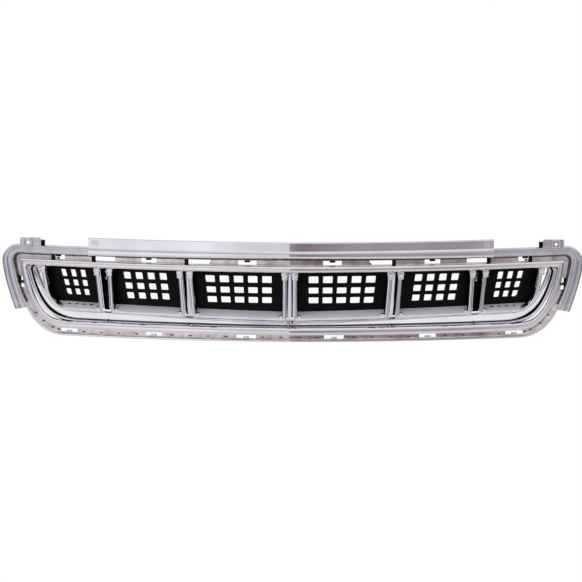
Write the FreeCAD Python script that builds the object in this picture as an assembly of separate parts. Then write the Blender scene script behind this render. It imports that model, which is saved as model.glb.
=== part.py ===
import FreeCAD, Part
import math
import os

# Chrome lower front grille for a large car, with six black mesh cells.
# Millimetres. +X is to the right of someone facing the grille, the grille faces -Y, and +Z is up.
# The whole grille is swept back from a shallow crease at its centre line. So each piece is drawn as a
# flat front outline (x, z), and its depth is measured back from the swept face of the ring.
# The origin is midway between the two upper tab holes.

Vector = FreeCAD.Vector

# ---- sweep of the face, seen from above ----
SWEEP_RADIUS = 1800.0        # radius of each half of the face
CREASE_DEG = 2.0             # how far each half already leans back at the centre crease
REACH = 640.0                # half width of the working slabs, wider than the grille
TALL = 150.0                 # half height of the working slabs
FRONT_Y = -40.0              # front and back limits of the working prisms
BACK_Y = 260.0

# ---- heights, above the level of the crease's middle ----
HEADER_TOP = 97.5
HEADER_STEP = 79.5           # the header's upper face steps forward here
LIP_CENTRE = 65.6            # lower edge of the header at the centre
LIP_END = 60.5               # and of the end flanges at the ends
FLANGE_TOP = 78.5            # top of the lower flanges outboard of the header
RING_TOP = 50.0
RING_INNER_TOP = 37.4
RING_BOTTOM = -90.0
RING_INNER_BOTTOM = -75.0
GROOVE_BOTTOM_CENTRE = -100.5
GROOVE_BOTTOM_END = -102.0
LOWER_LIP_CENTRE = -104.6
LOWER_LIP_END = -106.5

# ---- widths ----
HEADER_HALF = 413.0
LIP_END_X = 562.0

# ---- wall thicknesses and depths behind the ring's face ----
WALL = 2.5
RING_FACE = 3.0
RING_LIP_DEPTH = 8.0
GROOVE_FLOOR = 18.0
FLOOR_BACK = GROOVE_FLOOR + WALL
HEADER_UPPER = 4.5
HEADER_LOWER = 2.0
WING_FACE = 8.0
GAP = 0.15                   # assembly gap left between pieces that bear on each other
FRAME_FLANGE = FLOOR_BACK + GAP
FRAME_FLANGE_BACK = FRAME_FLANGE + WALL
FRAME_BACK = 45.0
RIB_FRONT = 17.0
RIB_BACK = 25.0
MESH_FRONT = 42.0
MESH_BACK = 48.0
EAR_FRONT = FRAME_BACK + GAP

# ---- cells: (top, bottom) distances from the centre line of each opening's far and near sides ----
CELL_TOP = 37.0
CELL_TOP_BAR = 40.0
RECESS_TOP = 40.3
SILL_CENTRE = -60.5          # height of the bezels' front bottom edge at the centre
SILL_END = -52.0             # and at SILL_END_X
SILL_END_X = 450.0
LEDGE_RISE = 10.0            # the bezel's bottom ledge climbs this much towards the mesh
LEDGE_THICK = 2.7
RIB_WIDTH = 9.5
CELLS = {
    "outer": {"far": (507.0, 489.0), "near": (402.0, 392.0), "far_round": 30.0},
    "middle": {"far": (366.0, 361.0), "near": (229.0, 221.0), "far_round": 4.0},
    "inner": {"far": (199.0, 191.5), "near": (15.0, 15.0), "far_round": 4.0},
}
# Mesh windows: number of columns, (distance from the centre line, lean) of the first and last column,
# width of a window, and the bottom and top of each row.
MESH = {
    "outer": {"columns": 3, "first": (465.0, 0.27), "last": (425.5, 0.19), "wide": 11.8,
              "rows": ((11.5, 26.6), (-7.1, 5.5), (-25.7, -13.1))},
    "middle": {"columns": 4, "first": (332.7, 0.165), "last": (258.4, 0.13), "wide": 15.6,
               "rows": ((12.0, 26.2), (-8.6, 4.2), (-28.4, -15.6))},
    "inner": {"columns": 5, "first": (162.0, 0.10), "last": (47.5, 0.0), "wide": 19.6,
              "rows": ((10.2, 24.4), (-11.0, 1.4), (-31.0, -18.6))},
}

# ---- slots in the groove for the bumper cover's tongues: near and far ends, distances from the centre ----
UPPER_SLOTS = ((67.0, 105.0), (161.0, 214.0), (272.0, 304.0), (358.0, 407.0), (464.0, 493.0))
LOWER_SLOTS = ((69.0, 109.0), (262.0, 296.0), (439.0, 475.0))
UPPER_SLOT_Z = (50.2, 59.5)
LOWER_SLOT_Z = (-99.8, -92.0)
SIDE_SLOT_Z = (-12.0, 12.0)
LONG_SLOT = 45.0             # slots longer than this hold a retainer block instead of a tongue

# ---- upper mounting tabs ----
TAB_X = (514.0, 558.0)
TAB_Z = (75.5, 93.0)
TAB_FACE_Y = 111.0
TAB_HOLE_X = 541.5
TAB_HOLE_Z = 83.0
TAB_HOLE_RADIUS = 3.25
TAB_POCKET = 17.0

# ---- screws ----
SHANK_RADIUS = 1.75
PILOT_RADIUS = 1.8
CLEAR_RADIUS = 2.2
HEAD_RADIUS = 3.5
HEAD_HEIGHT = 2.5
BOSS_RADIUS = 4.5
BOSS_OFFSET = 5.7            # from the tunnel's inner wall to the centre of an insert's boss
HEADER_SCREWS = ((30.0, 85.0), (130.0, 85.0), (238.0, 85.0), (338.0, 85.0))
WING_SCREWS = ((440.0, 69.5), (535.0, 68.5), (584.0, 30.0))
FRAME_SCREWS = ((40.0, -82.5), (145.0, -82.5), (250.0, -82.5), (355.0, -82.5), (450.0, -82.5))

CENTRE = Vector(0, 0, 0)
ACROSS = Vector(1, 0, 0)


def sweep_back(x):
    """How far back the ring's face lies at x."""
    crease = math.radians(CREASE_DEG)
    along = abs(x) + SWEEP_RADIUS * math.sin(crease)
    return SWEEP_RADIUS * math.cos(crease) - math.sqrt(SWEEP_RADIUS ** 2 - along ** 2)


def mirrored(shape):
    return shape.mirror(CENTRE, ACROSS)


def both_sides(shape):
    return Part.makeCompound([shape, mirrored(shape)])


def joined(shapes):
    """One clean solid from pieces that touch or overlap."""
    return shapes[0].multiFuse(shapes[1:]).removeSplitter()


def at(x, z):
    return Vector(x, 0, z)


def swept_point(x, depth):
    return Vector(x, sweep_back(x) + depth, -TALL)


def swept_arc(start, end, depth):
    middle = (start + end) / 2
    return Part.Arc(swept_point(start, depth), swept_point(middle, depth), swept_point(end, depth)).toShape()


def slab(front, back):
    """The space between two depths behind the ring's face."""
    edges = [
        swept_arc(-REACH, 0, front),
        swept_arc(0, REACH, front),
        Part.makeLine(swept_point(REACH, front), swept_point(REACH, back)),
        swept_arc(REACH, 0, back),
        swept_arc(0, -REACH, back),
        Part.makeLine(swept_point(-REACH, back), swept_point(-REACH, front)),
    ]
    return Part.Face(Part.Wire(edges)).extrude(Vector(0, 0, 2 * TALL))


def between(face, front, back):
    """A front outline given depth between two swept surfaces."""
    outline = face.copy()
    outline.translate(Vector(0, FRONT_Y, 0))
    return outline.extrude(Vector(0, BACK_Y - FRONT_Y, 0)).common(slab(front, back))


def polygon(points):
    corners = [at(x, z) for x, z in points]
    return Part.Face(Part.makePolygon(corners + corners[:1]))


def rectangle(x_ends, z_ends):
    (x1, x2), (z1, z2) = x_ends, z_ends
    return polygon([(x1, z1), (x2, z1), (x2, z2), (x1, z2)])


def disc(x, z, radius):
    return Part.Face(Part.Wire(Part.makeCircle(radius, at(x, z), Vector(0, 1, 0))))


def grown(face, distance):
    """The outline moved outwards, or inwards where the distance is negative."""
    return face.makeOffset2D(distance)


# ---- front outlines ----

def corner_curve(shoulder, foot, drop, lean, run):
    """The curve of a lower left corner: it falls from the shoulder, leaning in, and runs into the foot."""
    (x1, z1), (x2, z2) = shoulder, foot
    curve = Part.BezierCurve()
    curve.setPoles([at(x1, z1), at(x1 + lean * drop, z1 - drop), at(x2 - run, z2), at(x2, z2)])
    return curve.toShape()


def hoop(top_centre, corner, shoulder, foot, curve, bottom_centre, grow):
    """A closed symmetric outline with a small upper corner and a large lower corner on each side.

    The corner is given by its start and middle, the shoulder is where it ends, and the curve's drop, lean
    and run take it down to the foot. Grow moves the whole outline outwards by that much.
    """
    (x1, z1), (x2, z2) = corner
    corner_start = at(x1, z1 + grow)
    corner_middle = at(x2 - grow * 0.7, z2 + grow * 0.7)
    shoulder = (shoulder[0] - grow, shoulder[1])
    foot = (foot[0], foot[1] - grow)
    left = [
        Part.makeLine(at(0, top_centre + grow), corner_start),
        Part.Arc(corner_start, corner_middle, at(*shoulder)).toShape(),
        corner_curve(shoulder, foot, *curve),
        Part.makeLine(at(*foot), at(0, bottom_centre - grow)),
    ]
    right = [mirrored(edge) for edge in left]
    return Part.Face(Part.Wire(Part.__sortEdges__(left + right)))


def groove_outline(grow=0.0):
    corner = ((-LIP_END_X, LIP_END), (-571.5, 56.5))
    foot = (-471.0, GROOVE_BOTTOM_END)
    return hoop(LIP_CENTRE, corner, (-575.0, 46.0), foot, (137.0, 0.15, 16.0), GROOVE_BOTTOM_CENTRE, grow)


def ring_outline(grow=0.0):
    return hoop(RING_TOP, ((-553.0, RING_TOP), (-556.6, 48.5)), (-558.0, 45.0), (-471.0, RING_BOTTOM),
                (35.0, 0.02, 59.5), RING_BOTTOM, grow)


def ring_inner_outline(grow=0.0):
    return hoop(RING_INNER_TOP, ((-541.0, RING_INNER_TOP), (-545.0, 36.0)), (-546.0, 32.0),
                (-440.0, RING_INNER_BOTTOM), (116.0, 0.23, 51.0), RING_INNER_BOTTOM, grow)


def lower_lip_outline():
    left = [
        corner_curve((-549.0, -46.0), (-471.0, LOWER_LIP_END), 46.7, 0.37, 23.3),
        Part.makeLine(at(-471.0, LOWER_LIP_END), at(0, LOWER_LIP_CENTRE)),
    ]
    across = [Part.makeLine(at(-549.0, -46.0), at(549.0, -46.0))]
    right = [mirrored(edge) for edge in left]
    return Part.Face(Part.Wire(Part.__sortEdges__(left + across + right)))


def sill_height(x):
    """Height of the bezels' front bottom edge, which rises towards the ends."""
    return SILL_CENTRE + (SILL_END - SILL_CENTRE) * min(abs(x) / SILL_END_X, 1.0)


# The three edges of the inner frame's sloping sill: shoulder, foot, drop, lean, run, bottom centre, depth.
SILL_EDGES = (
    ((-544.0, 33.0), (-440.0, -73.3), 116.0, 0.23, 51.0, -73.3, 5.0),
    ((-532.0, 33.0), (-435.0, -69.0), 62.0, 0.20, 56.0, -70.0, 12.0),
    ((-525.0, 33.0), (-450.0, SILL_END - 3.0), 62.0, 0.25, 34.0, SILL_CENTRE - 3.0, 20.0),
)


def recess_outline(grow=0.0):
    """The tunnel behind the sill that the cells sit in."""
    shoulder, foot, drop, lean, run, bottom, _ = SILL_EDGES[2]
    corner = ((shoulder[0] + 4, RECESS_TOP), (shoulder[0] + 1, RECESS_TOP - 1.5))
    return hoop(RECESS_TOP, corner, shoulder, foot, (drop, lean, run), bottom, grow)


def wing_outline():
    """Left end wing before the groove is taken out of it."""
    edges = [
        Part.makeLine(at(-HEADER_HALF, 50), at(-HEADER_HALF, FLANGE_TOP)),
        Part.makeLine(at(-HEADER_HALF, FLANGE_TOP), at(-566, FLANGE_TOP - 1)),
        Part.Arc(at(-566, FLANGE_TOP - 1), at(-590, 66.5), at(-599, 45)).toShape(),
        Part.Arc(at(-599, 45), at(-590, -5), at(-573, -58)).toShape(),
        Part.makeLine(at(-573, -58), at(-546, -49)),
        Part.makeLine(at(-546, -49), at(-540, 50)),
        Part.makeLine(at(-540, 50), at(-HEADER_HALF, 50)),
    ]
    return Part.Face(Part.Wire(edges))


def cell_outline(cell, grow, bottom_rise):
    """Left-half cell opening, its sides moved out by grow and its bottom edge raised by bottom_rise."""
    far_top, far_bottom = cell["far"]
    near_top, near_bottom = cell["near"]
    top = CELL_TOP if grow == 0 else CELL_TOP_BAR
    low_far = sill_height(far_bottom) + bottom_rise
    low_near = sill_height(near_bottom) + bottom_rise
    face = polygon([
        (-far_top - grow, top),
        (-far_bottom - grow, low_far),
        (-near_bottom + grow, low_near),
        (-near_top + grow, top),
    ])
    prism = face.extrude(Vector(0, 1, 0))
    corners = []
    for edge in prism.Edges:
        a, b = edge.Vertexes[0].Point, edge.Vertexes[-1].Point
        if abs(a.x - b.x) + abs(a.z - b.z) < 0.01 and a.z < 0:
            corners.append(edge)
    corners.sort(key=lambda edge: edge.Vertexes[0].Point.x)
    rounded = prism.makeFillet(cell["far_round"] + grow, corners[:1])
    flats = [f for f in rounded.Faces if abs(f.normalAt(0, 0).y) > 0.99]
    return min(flats, key=lambda f: f.CenterOfMass.y)


# ---- repeated small features ----

def boss(x, z, front, back):
    """A round screw boss with its pilot hole."""
    return between(disc(x, z, BOSS_RADIUS).cut(disc(x, z, PILOT_RADIUS)), front, back)


def screw(x, z, seat, tip):
    """A pan-head screw driven forwards from behind: its head sits on seat and its shank ends at tip."""
    head = between(disc(x, z, HEAD_RADIUS), seat + GAP, seat + GAP + HEAD_HEIGHT)
    shank = between(disc(x, z, SHANK_RADIUS), tip, seat + GAP)
    return joined([head, shank])


def mirrored_places(places):
    return [(x, z) for x, z in places] + [(-x, z) for x, z in places]


def drilled(face, places, radius):
    """The outline with a round hole at each place."""
    return face.cut([disc(x, z, radius) for x, z in places])


def side_slot_outline():
    """The slot beside the ring's left end, following the slant of the groove."""
    low, high = SIDE_SLOT_Z
    return polygon([(-566.0, high), (-560.0, low), (-552.5, low), (-557.0, high)])


# ---- the ring frame ----

def rear_flange_outline():
    """The flange behind the header and the wings that they are screwed to."""
    behind_header = rectangle((-HEADER_HALF + 6, HEADER_HALF - 6), (45.0, 93.0))
    behind_wing = rectangle((-548.0, -400.0), (45.0, 75.0))
    beside_ring = rectangle((-590.0, -560.0), (22.0, 38.0))
    return behind_header.multiFuse([behind_wing, mirrored(behind_wing), beside_ring, mirrored(beside_ring)])


def slot_outlines():
    slots = [rectangle((-far, -near), UPPER_SLOT_Z) for near, far in UPPER_SLOTS]
    slots += [rectangle((-far, -near), LOWER_SLOT_Z) for near, far in LOWER_SLOTS]
    slots.append(side_slot_outline())
    return slots + [mirrored(slot) for slot in slots]


def ring_frame():
    outer = ring_outline()
    inner = ring_inner_outline()
    groove = groove_outline()
    face = between(outer.cut(inner), 0, RING_FACE)
    outer_wall = between(outer.cut(ring_outline(-WALL)), 0, FLOOR_BACK)
    inner_lip = between(ring_inner_outline(WALL).cut(inner), 0, RING_LIP_DEPTH)
    floor = groove.fuse(rear_flange_outline()).cut(ring_outline(-WALL / 2))
    floor = floor.cut(slot_outlines())
    floor = drilled(floor, mirrored_places(HEADER_SCREWS), CLEAR_RADIUS)
    floor = drilled(floor, mirrored_places(WING_SCREWS), CLEAR_RADIUS)
    lower_lip = between(lower_lip_outline().cut(groove), WING_FACE, FLOOR_BACK)
    pieces = [face, outer_wall, inner_lip, between(floor, GROOVE_FLOOR, FLOOR_BACK), lower_lip]
    pieces += [boss(x, z, RING_FACE - 1, FLOOR_BACK) for x, z in mirrored_places(FRAME_SCREWS)]
    return joined(pieces)


# ---- covers around the ring ----

def lip_height(x):
    return LIP_CENTRE + (LIP_END - LIP_CENTRE) * abs(x) / LIP_END_X


def header_panel():
    """Upper cover: a tall face, a step, a lower band and a lip that turns back to the groove's floor."""
    end = HEADER_HALF - 0.3
    lip = lip_height(end)
    step_low, step_high = HEADER_STEP - 1.5, HEADER_STEP + 1
    upper_face = rectangle((-end, end), (step_low, HEADER_TOP))
    upper = between(upper_face, HEADER_UPPER, HEADER_UPPER + WALL)
    band = polygon([(-end, lip), (0, LIP_CENTRE), (end, lip), (end, step_high), (-end, step_high)])
    lower = between(band, HEADER_LOWER, HEADER_LOWER + WALL)
    step = between(rectangle((-end, end), (step_low, step_high)), HEADER_LOWER, HEADER_UPPER + WALL)
    turn = polygon([
        (-end, lip), (0, LIP_CENTRE), (end, lip),
        (end, lip + WALL), (0, LIP_CENTRE + WALL), (-end, lip + WALL),
    ])
    pieces = [upper, lower, step, between(turn, HEADER_LOWER, GROOVE_FLOOR - GAP)]
    pieces += [boss(x, z, HEADER_UPPER + 1, GROOVE_FLOOR - GAP) for x, z in mirrored_places(HEADER_SCREWS)]
    return joined(pieces)


def mounting_tab():
    """Left upper tab: a flat plate with a bolt hole in a shallow square pocket, on the wing's top edge."""
    x1, x2 = -TAB_X[1], -TAB_X[0]
    height = TAB_Z[1] - TAB_Z[0]
    plate = Part.makeBox(x2 - x1, WALL, height, Vector(x1, TAB_FACE_Y, TAB_Z[0]))
    shelf = between(rectangle((x1, x2), (TAB_Z[0], TAB_Z[0] + WALL)), WING_FACE, GROOVE_FLOOR - GAP)
    pocket_x = -TAB_HOLE_X - TAB_POCKET / 2
    pocket_z = TAB_HOLE_Z - TAB_POCKET / 2 + 1
    rim = Part.makeBox(TAB_POCKET, 5, TAB_POCKET, Vector(pocket_x, TAB_FACE_Y - 5, pocket_z))
    inside = TAB_POCKET - 4
    hollow = Part.makeBox(inside, 5, inside, Vector(pocket_x + 2, TAB_FACE_Y - 5, pocket_z + 2))
    hole = Part.makeCylinder(
        TAB_HOLE_RADIUS, 40, Vector(-TAB_HOLE_X, TAB_FACE_Y - 20, TAB_HOLE_Z), Vector(0, 1, 0))
    return joined([plate, shelf, rim.cut(hollow)]).cut(hole)


def end_wing():
    """Left end wing: the low flange beside the header and the swept side flange, with edges turned back."""
    outline = wing_outline()
    groove = groove_outline()
    clear = groove.fuse(lower_lip_outline())
    skin = between(outline.cut(clear), WING_FACE, WING_FACE + WALL)
    groove_edge = between(groove_outline(WALL).common(outline).cut(clear), WING_FACE, GROOVE_FLOOR - GAP)
    outer_edge = between(outline.cut(grown(outline, -2.0)).cut(clear), WING_FACE, GROOVE_FLOOR - GAP)
    pieces = [skin, groove_edge, outer_edge, mounting_tab()]
    pieces += [boss(-x, z, WING_FACE + 1, GROOVE_FLOOR - GAP) for x, z in WING_SCREWS]
    return joined(pieces)


# ---- the inner frame ----

def curve_point(edge, depth, share):
    """A point on one edge of the sill, from the end's top (share 0) round the corner to the centre (1)."""
    shoulder, foot, drop, lean, run, bottom, _ = edge
    corner_share = 0.5
    if share <= corner_share:
        t = share / corner_share
        curve = Part.BezierCurve()
        curve.setPoles([at(*shoulder), at(shoulder[0] + lean * drop, shoulder[1] - drop),
                        at(foot[0] - run, foot[1]), at(*foot)])
        point = curve.value(t)
    else:
        t = (share - corner_share) / (1 - corner_share)
        point = at(foot[0] * (1 - t), foot[1] + (bottom - foot[1]) * t)
    return Vector(point.x, sweep_back(point.x) + depth, point.z)


def sill_strip(front_edge, back_edge):
    """A sloping strip of the sill between two of its edges, round the left end and along to the centre."""
    sections = []
    steps = 24
    for step in range(steps + 1):
        share = step / steps
        front = curve_point(front_edge, front_edge[-1], share)
        back = curve_point(back_edge, back_edge[-1], share)
        thick = Vector(0, WALL, 0)
        sections.append(Part.makePolygon([front, back, back + thick, front + thick, front]))
    return Part.makeLoft(sections, True, True)


def inner_frame():
    recess = recess_outline()
    tunnel = between(recess_outline(2.0).cut(recess), SILL_EDGES[2][-1], FRAME_BACK)
    flange = ring_outline().cut(recess)
    ears = [rectangle((x - 7, x + 7), (RECESS_TOP + 1, z + 6)) for x, z in mirrored_places(HEADER_SCREWS)]
    flange = flange.fuse(ears)
    flange = drilled(flange, mirrored_places(HEADER_SCREWS + FRAME_SCREWS), CLEAR_RADIUS)
    pieces = [tunnel, between(flange, FRAME_FLANGE, FRAME_FLANGE_BACK)]
    for strip in (sill_strip(SILL_EDGES[0], SILL_EDGES[1]), sill_strip(SILL_EDGES[1], SILL_EDGES[2])):
        pieces += [strip, mirrored(strip)]
    for left, right in divider_gaps():
        web = polygon([
            (left[0] + 11, RECESS_TOP + 1), (right[0] - 11, RECESS_TOP + 1),
            (right[1] - 11, sill_height(right[1]) - 3.5), (left[1] + 11, sill_height(left[1]) - 3.5),
        ])
        pieces.append(between(web, RIB_BACK + 1, FRAME_BACK))
    pieces += [boss(x, z, FRAME_FLANGE_BACK - 1, FRAME_BACK) for x, z in insert_screw_places()]
    return joined(pieces)


def divider_gaps():
    """The five gaps between neighbouring cell openings: (top, bottom) x of each side, left to right."""
    names = ("outer", "middle", "inner")
    left = []
    for far_cell, near_cell in zip(names, names[1:]):
        near_edge = CELLS[far_cell]["near"]
        far_edge = CELLS[near_cell]["far"]
        left.append(((-near_edge[0], -near_edge[1]), (-far_edge[0], -far_edge[1])))
    inner = CELLS["inner"]["near"]
    centre = [((-inner[0], -inner[1]), (inner[0], inner[1]))]
    right = [((-b[0], -b[1]), (-a[0], -a[1])) for a, b in reversed(left)]
    return left + centre + right


# ---- the cells ----

def cell_ledge(cell):
    """The sloping bottom ledge between a cell's ribs, climbing back to the mesh."""
    far = -cell["far"][1]
    near = -cell["near"][1]
    start = far + cell["far_round"] * 0.6
    sections = []
    steps = 6
    for step in range(steps + 1):
        x = start + (near - start) * step / steps
        low = sill_height(x)
        back = sweep_back(x)
        front_y = back + RIB_FRONT + 1
        mesh_y = back + MESH_FRONT - 0.4
        front = Vector(x, front_y, low + 0.4)
        sections.append(Part.makePolygon([
            front, Vector(x, mesh_y, low + LEDGE_RISE),
            Vector(x, mesh_y, low + LEDGE_RISE - LEDGE_THICK), Vector(x, front_y, low - 2), front,
        ]))
    return Part.makeLoft(sections, True, True)


def cell_bezel(cell):
    """Left-half bezel: two side ribs, a top bar behind the ring's lip and the sloping bottom ledge."""
    border = cell_outline(cell, RIB_WIDTH, -LEDGE_THICK).cut(cell_outline(cell, 0, 0))
    return joined([between(border, RIB_FRONT, RIB_BACK), cell_ledge(cell)])


def window_outlines(mesh):
    """The mesh windows of a left-half cell, leaning with the cell's sides."""
    windows = []
    for column in range(mesh["columns"]):
        share = column / (mesh["columns"] - 1)
        (first, first_lean), (last, last_lean) = mesh["first"], mesh["last"]
        middle = -(first + (last - first) * share)
        lean = first_lean + (last_lean - first_lean) * share
        half = mesh["wide"] / 2
        for low, top in mesh["rows"]:
            windows.append(polygon([
                (middle - half - lean * top, top), (middle + half - lean * top, top),
                (middle + half - lean * low, low), (middle - half - lean * low, low),
            ]))
    return windows


def insert_ears(cell):
    """Where a left-half cell's insert is screwed to the frame, above and below the tunnel."""
    far, near = cell["far"][0], cell["near"][0]
    span = far - near
    ears = []
    for share in (0.22, 0.78):
        x = -(near + span * share)
        ears.append((x, RECESS_TOP + BOSS_OFFSET))
        ears.append((x, sill_height(x) - LEDGE_THICK - BOSS_OFFSET))
    return ears


def insert_screw_places():
    places = []
    for cell in CELLS.values():
        for x, z in insert_ears(cell):
            places += [(x, z), (-x, z)]
    return places


def mesh_insert(cell, mesh):
    """Left-half black insert: a slotted back plate with side walls that come forward to the bezel's ribs."""
    outline = cell_outline(cell, 2.0, LEDGE_RISE - 5)
    plate = outline.cut(window_outlines(mesh))
    sides = outline.cut(cell_outline(cell, 0, -20.0))
    below = rectangle((-cell["far"][0] - 20, -cell["near"][1] + 20), (-90.0, SILL_END + LEDGE_RISE + 3))
    walls = between(sides.cut(below), RIB_BACK + GAP, MESH_FRONT)
    pieces = [between(plate, MESH_FRONT, MESH_BACK), walls]
    for x, z in insert_ears(cell):
        reach = (z - BOSS_RADIUS, SILL_END + LEDGE_RISE) if z < 0 else (CELL_TOP, z + BOSS_RADIUS)
        ear = drilled(rectangle((x - 6, x + 6), reach), [(x, z)], CLEAR_RADIUS)
        pieces.append(between(ear, EAR_FRONT, MESH_BACK))
    return joined(pieces)


# ---- clips, tongues and hooks in the slots ----

def slot_retainers():
    """Black spring blocks at the outer ends of the long slots and of the end slots."""
    blocks = []
    for near, far in UPPER_SLOTS:
        if far - near > LONG_SLOT or far > LIP_END_X - 80:
            slot_z = (UPPER_SLOT_Z[0] + 0.3, UPPER_SLOT_Z[1] - 0.3)
            head = between(rectangle((-far + 0.3, -far + 8), slot_z), 12, FRAME_FLANGE_BACK)
            foot_face = rectangle((-far - 6, -far + 8), (RING_TOP + 0.5, 66))
            foot = between(foot_face, FRAME_FLANGE, FRAME_FLANGE_BACK)
            block = joined([head, foot])
            blocks += [block, mirrored(block)]
    return Part.makeCompound(blocks)


def tongues(slots, z_ends, root_z_ends):
    """Snap tongues that hang into the middle of the short slots."""
    parts = []
    for near, far in slots:
        if far - near < LONG_SLOT:
            middle = -(near + far) / 2
            nose = between(rectangle((middle - 5, middle + 5), z_ends), 15, FRAME_FLANGE_BACK)
            root = between(rectangle((middle - 6, middle + 6), root_z_ends), FRAME_FLANGE, FRAME_FLANGE_BACK)
            tongue = joined([nose, root])
            parts += [tongue, mirrored(tongue)]
    return Part.makeCompound(parts)


def side_hooks():
    """The hook in each side slot."""
    low, high = SIDE_SLOT_Z
    nose = between(polygon([(-562, 4), (-556, 1), (-554.5, -4), (-562.2, 0)]), 12, FRAME_FLANGE_BACK)
    root = between(rectangle((-572, -559.5), (low - 3, high)), FRAME_FLANGE, FRAME_FLANGE_BACK)
    hook = joined([nose, root])
    return both_sides(hook)


def tab_clip():
    """The left clip block beside the mounting tab, with a slot across its front."""
    block = between(rectangle((-TAB_X[0], -TAB_X[0] + 8), (FLANGE_TOP, 89.0)), WING_FACE, GROOVE_FLOOR)
    slit_face = rectangle((-TAB_X[0] + 2, -TAB_X[0] + 6), (FLANGE_TOP + 3, 86.0))
    slit = between(slit_face, WING_FACE - 1, WING_FACE + 3)
    return block.cut(slit)


# ---- screws ----

def header_screws():
    tip = HEADER_UPPER + WALL + 0.5
    return Part.makeCompound([screw(x, z, FRAME_FLANGE_BACK, tip) for x, z in mirrored_places(HEADER_SCREWS)])


def wing_screws():
    tip = WING_FACE + WALL + 0.5
    return Part.makeCompound([screw(x, z, FLOOR_BACK, tip) for x, z in mirrored_places(WING_SCREWS)])


def frame_screws():
    tip = RING_FACE + 1
    return Part.makeCompound([screw(x, z, FRAME_FLANGE_BACK, tip) for x, z in mirrored_places(FRAME_SCREWS)])


def insert_screws():
    tip = FRAME_FLANGE_BACK + 4
    return Part.makeCompound([screw(x, z, MESH_BACK, tip) for x, z in insert_screw_places()])


def write(name, shape):
    """Moves a piece so that the origin is between the tab holes, and writes it."""
    piece = shape.copy()
    piece.translate(Vector(0, -TAB_FACE_Y, -TAB_HOLE_Z))
    kind = "valid" if piece.isValid() else "NOT VALID"
    box = piece.BoundBox
    print(name, kind, len(piece.Solids), "solids", round(piece.Volume), "mm3",
          [round(v, 1) for v in (box.XMin, box.XMax, box.YMin, box.YMax, box.ZMin, box.ZMax)])
    piece.exportStep("parts/" + name + ".step")


def main():
    os.makedirs("parts", exist_ok=True)
    write("ring_frame", ring_frame())
    write("header_panel", header_panel())
    wing = end_wing()
    write("end_wing_left", wing)
    write("end_wing_right", mirrored(wing))
    write("inner_frame", inner_frame())
    for number, name in enumerate(("outer", "middle", "inner"), start=1):
        bezel = cell_bezel(CELLS[name])
        insert = mesh_insert(CELLS[name], MESH[name])
        write("cell_bezel_" + str(number), bezel)
        write("cell_bezel_" + str(7 - number), mirrored(bezel))
        write("mesh_insert_" + str(number), insert)
        write("mesh_insert_" + str(7 - number), mirrored(insert))
    write("slot_retainers", slot_retainers())
    top, floor = UPPER_SLOT_Z[1], LOWER_SLOT_Z[0]
    write("snap_tongues", tongues(UPPER_SLOTS, (top - 3.5, top - 0.3), (top - 3.5, top + 6)))
    write("lower_tongues", tongues(LOWER_SLOTS, (floor + 0.3, floor + 3.5), (floor - 4, floor + 3.5)))
    write("side_hooks", side_hooks())
    clip = tab_clip()
    write("tab_clip_left", clip)
    write("tab_clip_right", mirrored(clip))
    write("header_screws", header_screws())
    write("wing_screws", wing_screws())
    write("frame_screws", frame_screws())
    write("insert_screws", insert_screws())


main()
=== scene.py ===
# %% [markdown]
# # The looks of a chrome lower front grille
#
# The real grille is a wide chrome moulding from the nose of a large car. A ring of bright chrome runs round
# six recessed cells, each with a black slotted insert. Around the ring lies a sunk groove with slots for
# the bumper cover, and around that a tall header and two end wings. Everything is swept back from a shallow
# crease at the centre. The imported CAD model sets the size, so the first cell only loads it and notes its
# box.

import math

import bmesh
import bpy
from mathutils import Matrix, Vector
from mathutils.geometry import interpolate_bezier


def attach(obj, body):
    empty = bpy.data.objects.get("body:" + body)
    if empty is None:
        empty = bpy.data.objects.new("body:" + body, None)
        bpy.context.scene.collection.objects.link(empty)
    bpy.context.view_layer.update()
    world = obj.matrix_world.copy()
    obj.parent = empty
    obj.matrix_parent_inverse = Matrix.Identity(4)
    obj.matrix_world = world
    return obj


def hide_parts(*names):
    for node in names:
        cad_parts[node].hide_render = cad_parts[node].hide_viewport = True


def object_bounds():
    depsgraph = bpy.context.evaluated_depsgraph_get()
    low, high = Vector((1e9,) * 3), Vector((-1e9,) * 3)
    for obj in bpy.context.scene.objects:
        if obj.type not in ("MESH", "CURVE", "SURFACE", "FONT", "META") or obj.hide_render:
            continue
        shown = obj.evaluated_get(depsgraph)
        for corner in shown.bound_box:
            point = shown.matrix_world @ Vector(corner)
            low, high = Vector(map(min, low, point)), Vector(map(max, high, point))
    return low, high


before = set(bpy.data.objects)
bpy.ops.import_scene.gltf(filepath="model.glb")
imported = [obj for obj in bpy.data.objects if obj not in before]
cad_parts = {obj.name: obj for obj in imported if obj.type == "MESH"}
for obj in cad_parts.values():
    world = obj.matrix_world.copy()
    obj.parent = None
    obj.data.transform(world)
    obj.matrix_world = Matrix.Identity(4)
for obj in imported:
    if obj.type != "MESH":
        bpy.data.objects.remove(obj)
cad_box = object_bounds()
print("CAD box in mm:", [[round(value * 1000, 1) for value in corner] for corner in cad_box])

# %% [markdown]
# ## The swept face
#
# Each half of the grille lies on a cylinder 1.8 m in radius that already leans back by 2 degrees at the
# crease. So a point is given the way a drawing gives it, in millimetres: how far across, how high, and how
# deep behind the face. One helper turns that into the frame's own metres. It could be done by bending flat
# pieces with a modifier, but placing each point directly keeps every height and width exact.

# %% Place points on the swept face
MM = 0.001
SWEEP_RADIUS = 1800.0
CREASE = math.radians(2.0)
TAB_FACE_Y = 111.0      # the frame's origin is midway between the two upper tab holes
TAB_HOLE_Z = 83.0
WELD = 1e-6


def sweep_back(x):
    """How far the ring's face lies back at x."""
    along = abs(x) + SWEEP_RADIUS * math.sin(CREASE)
    return SWEEP_RADIUS * math.cos(CREASE) - math.sqrt(SWEEP_RADIUS ** 2 - along ** 2)


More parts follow.
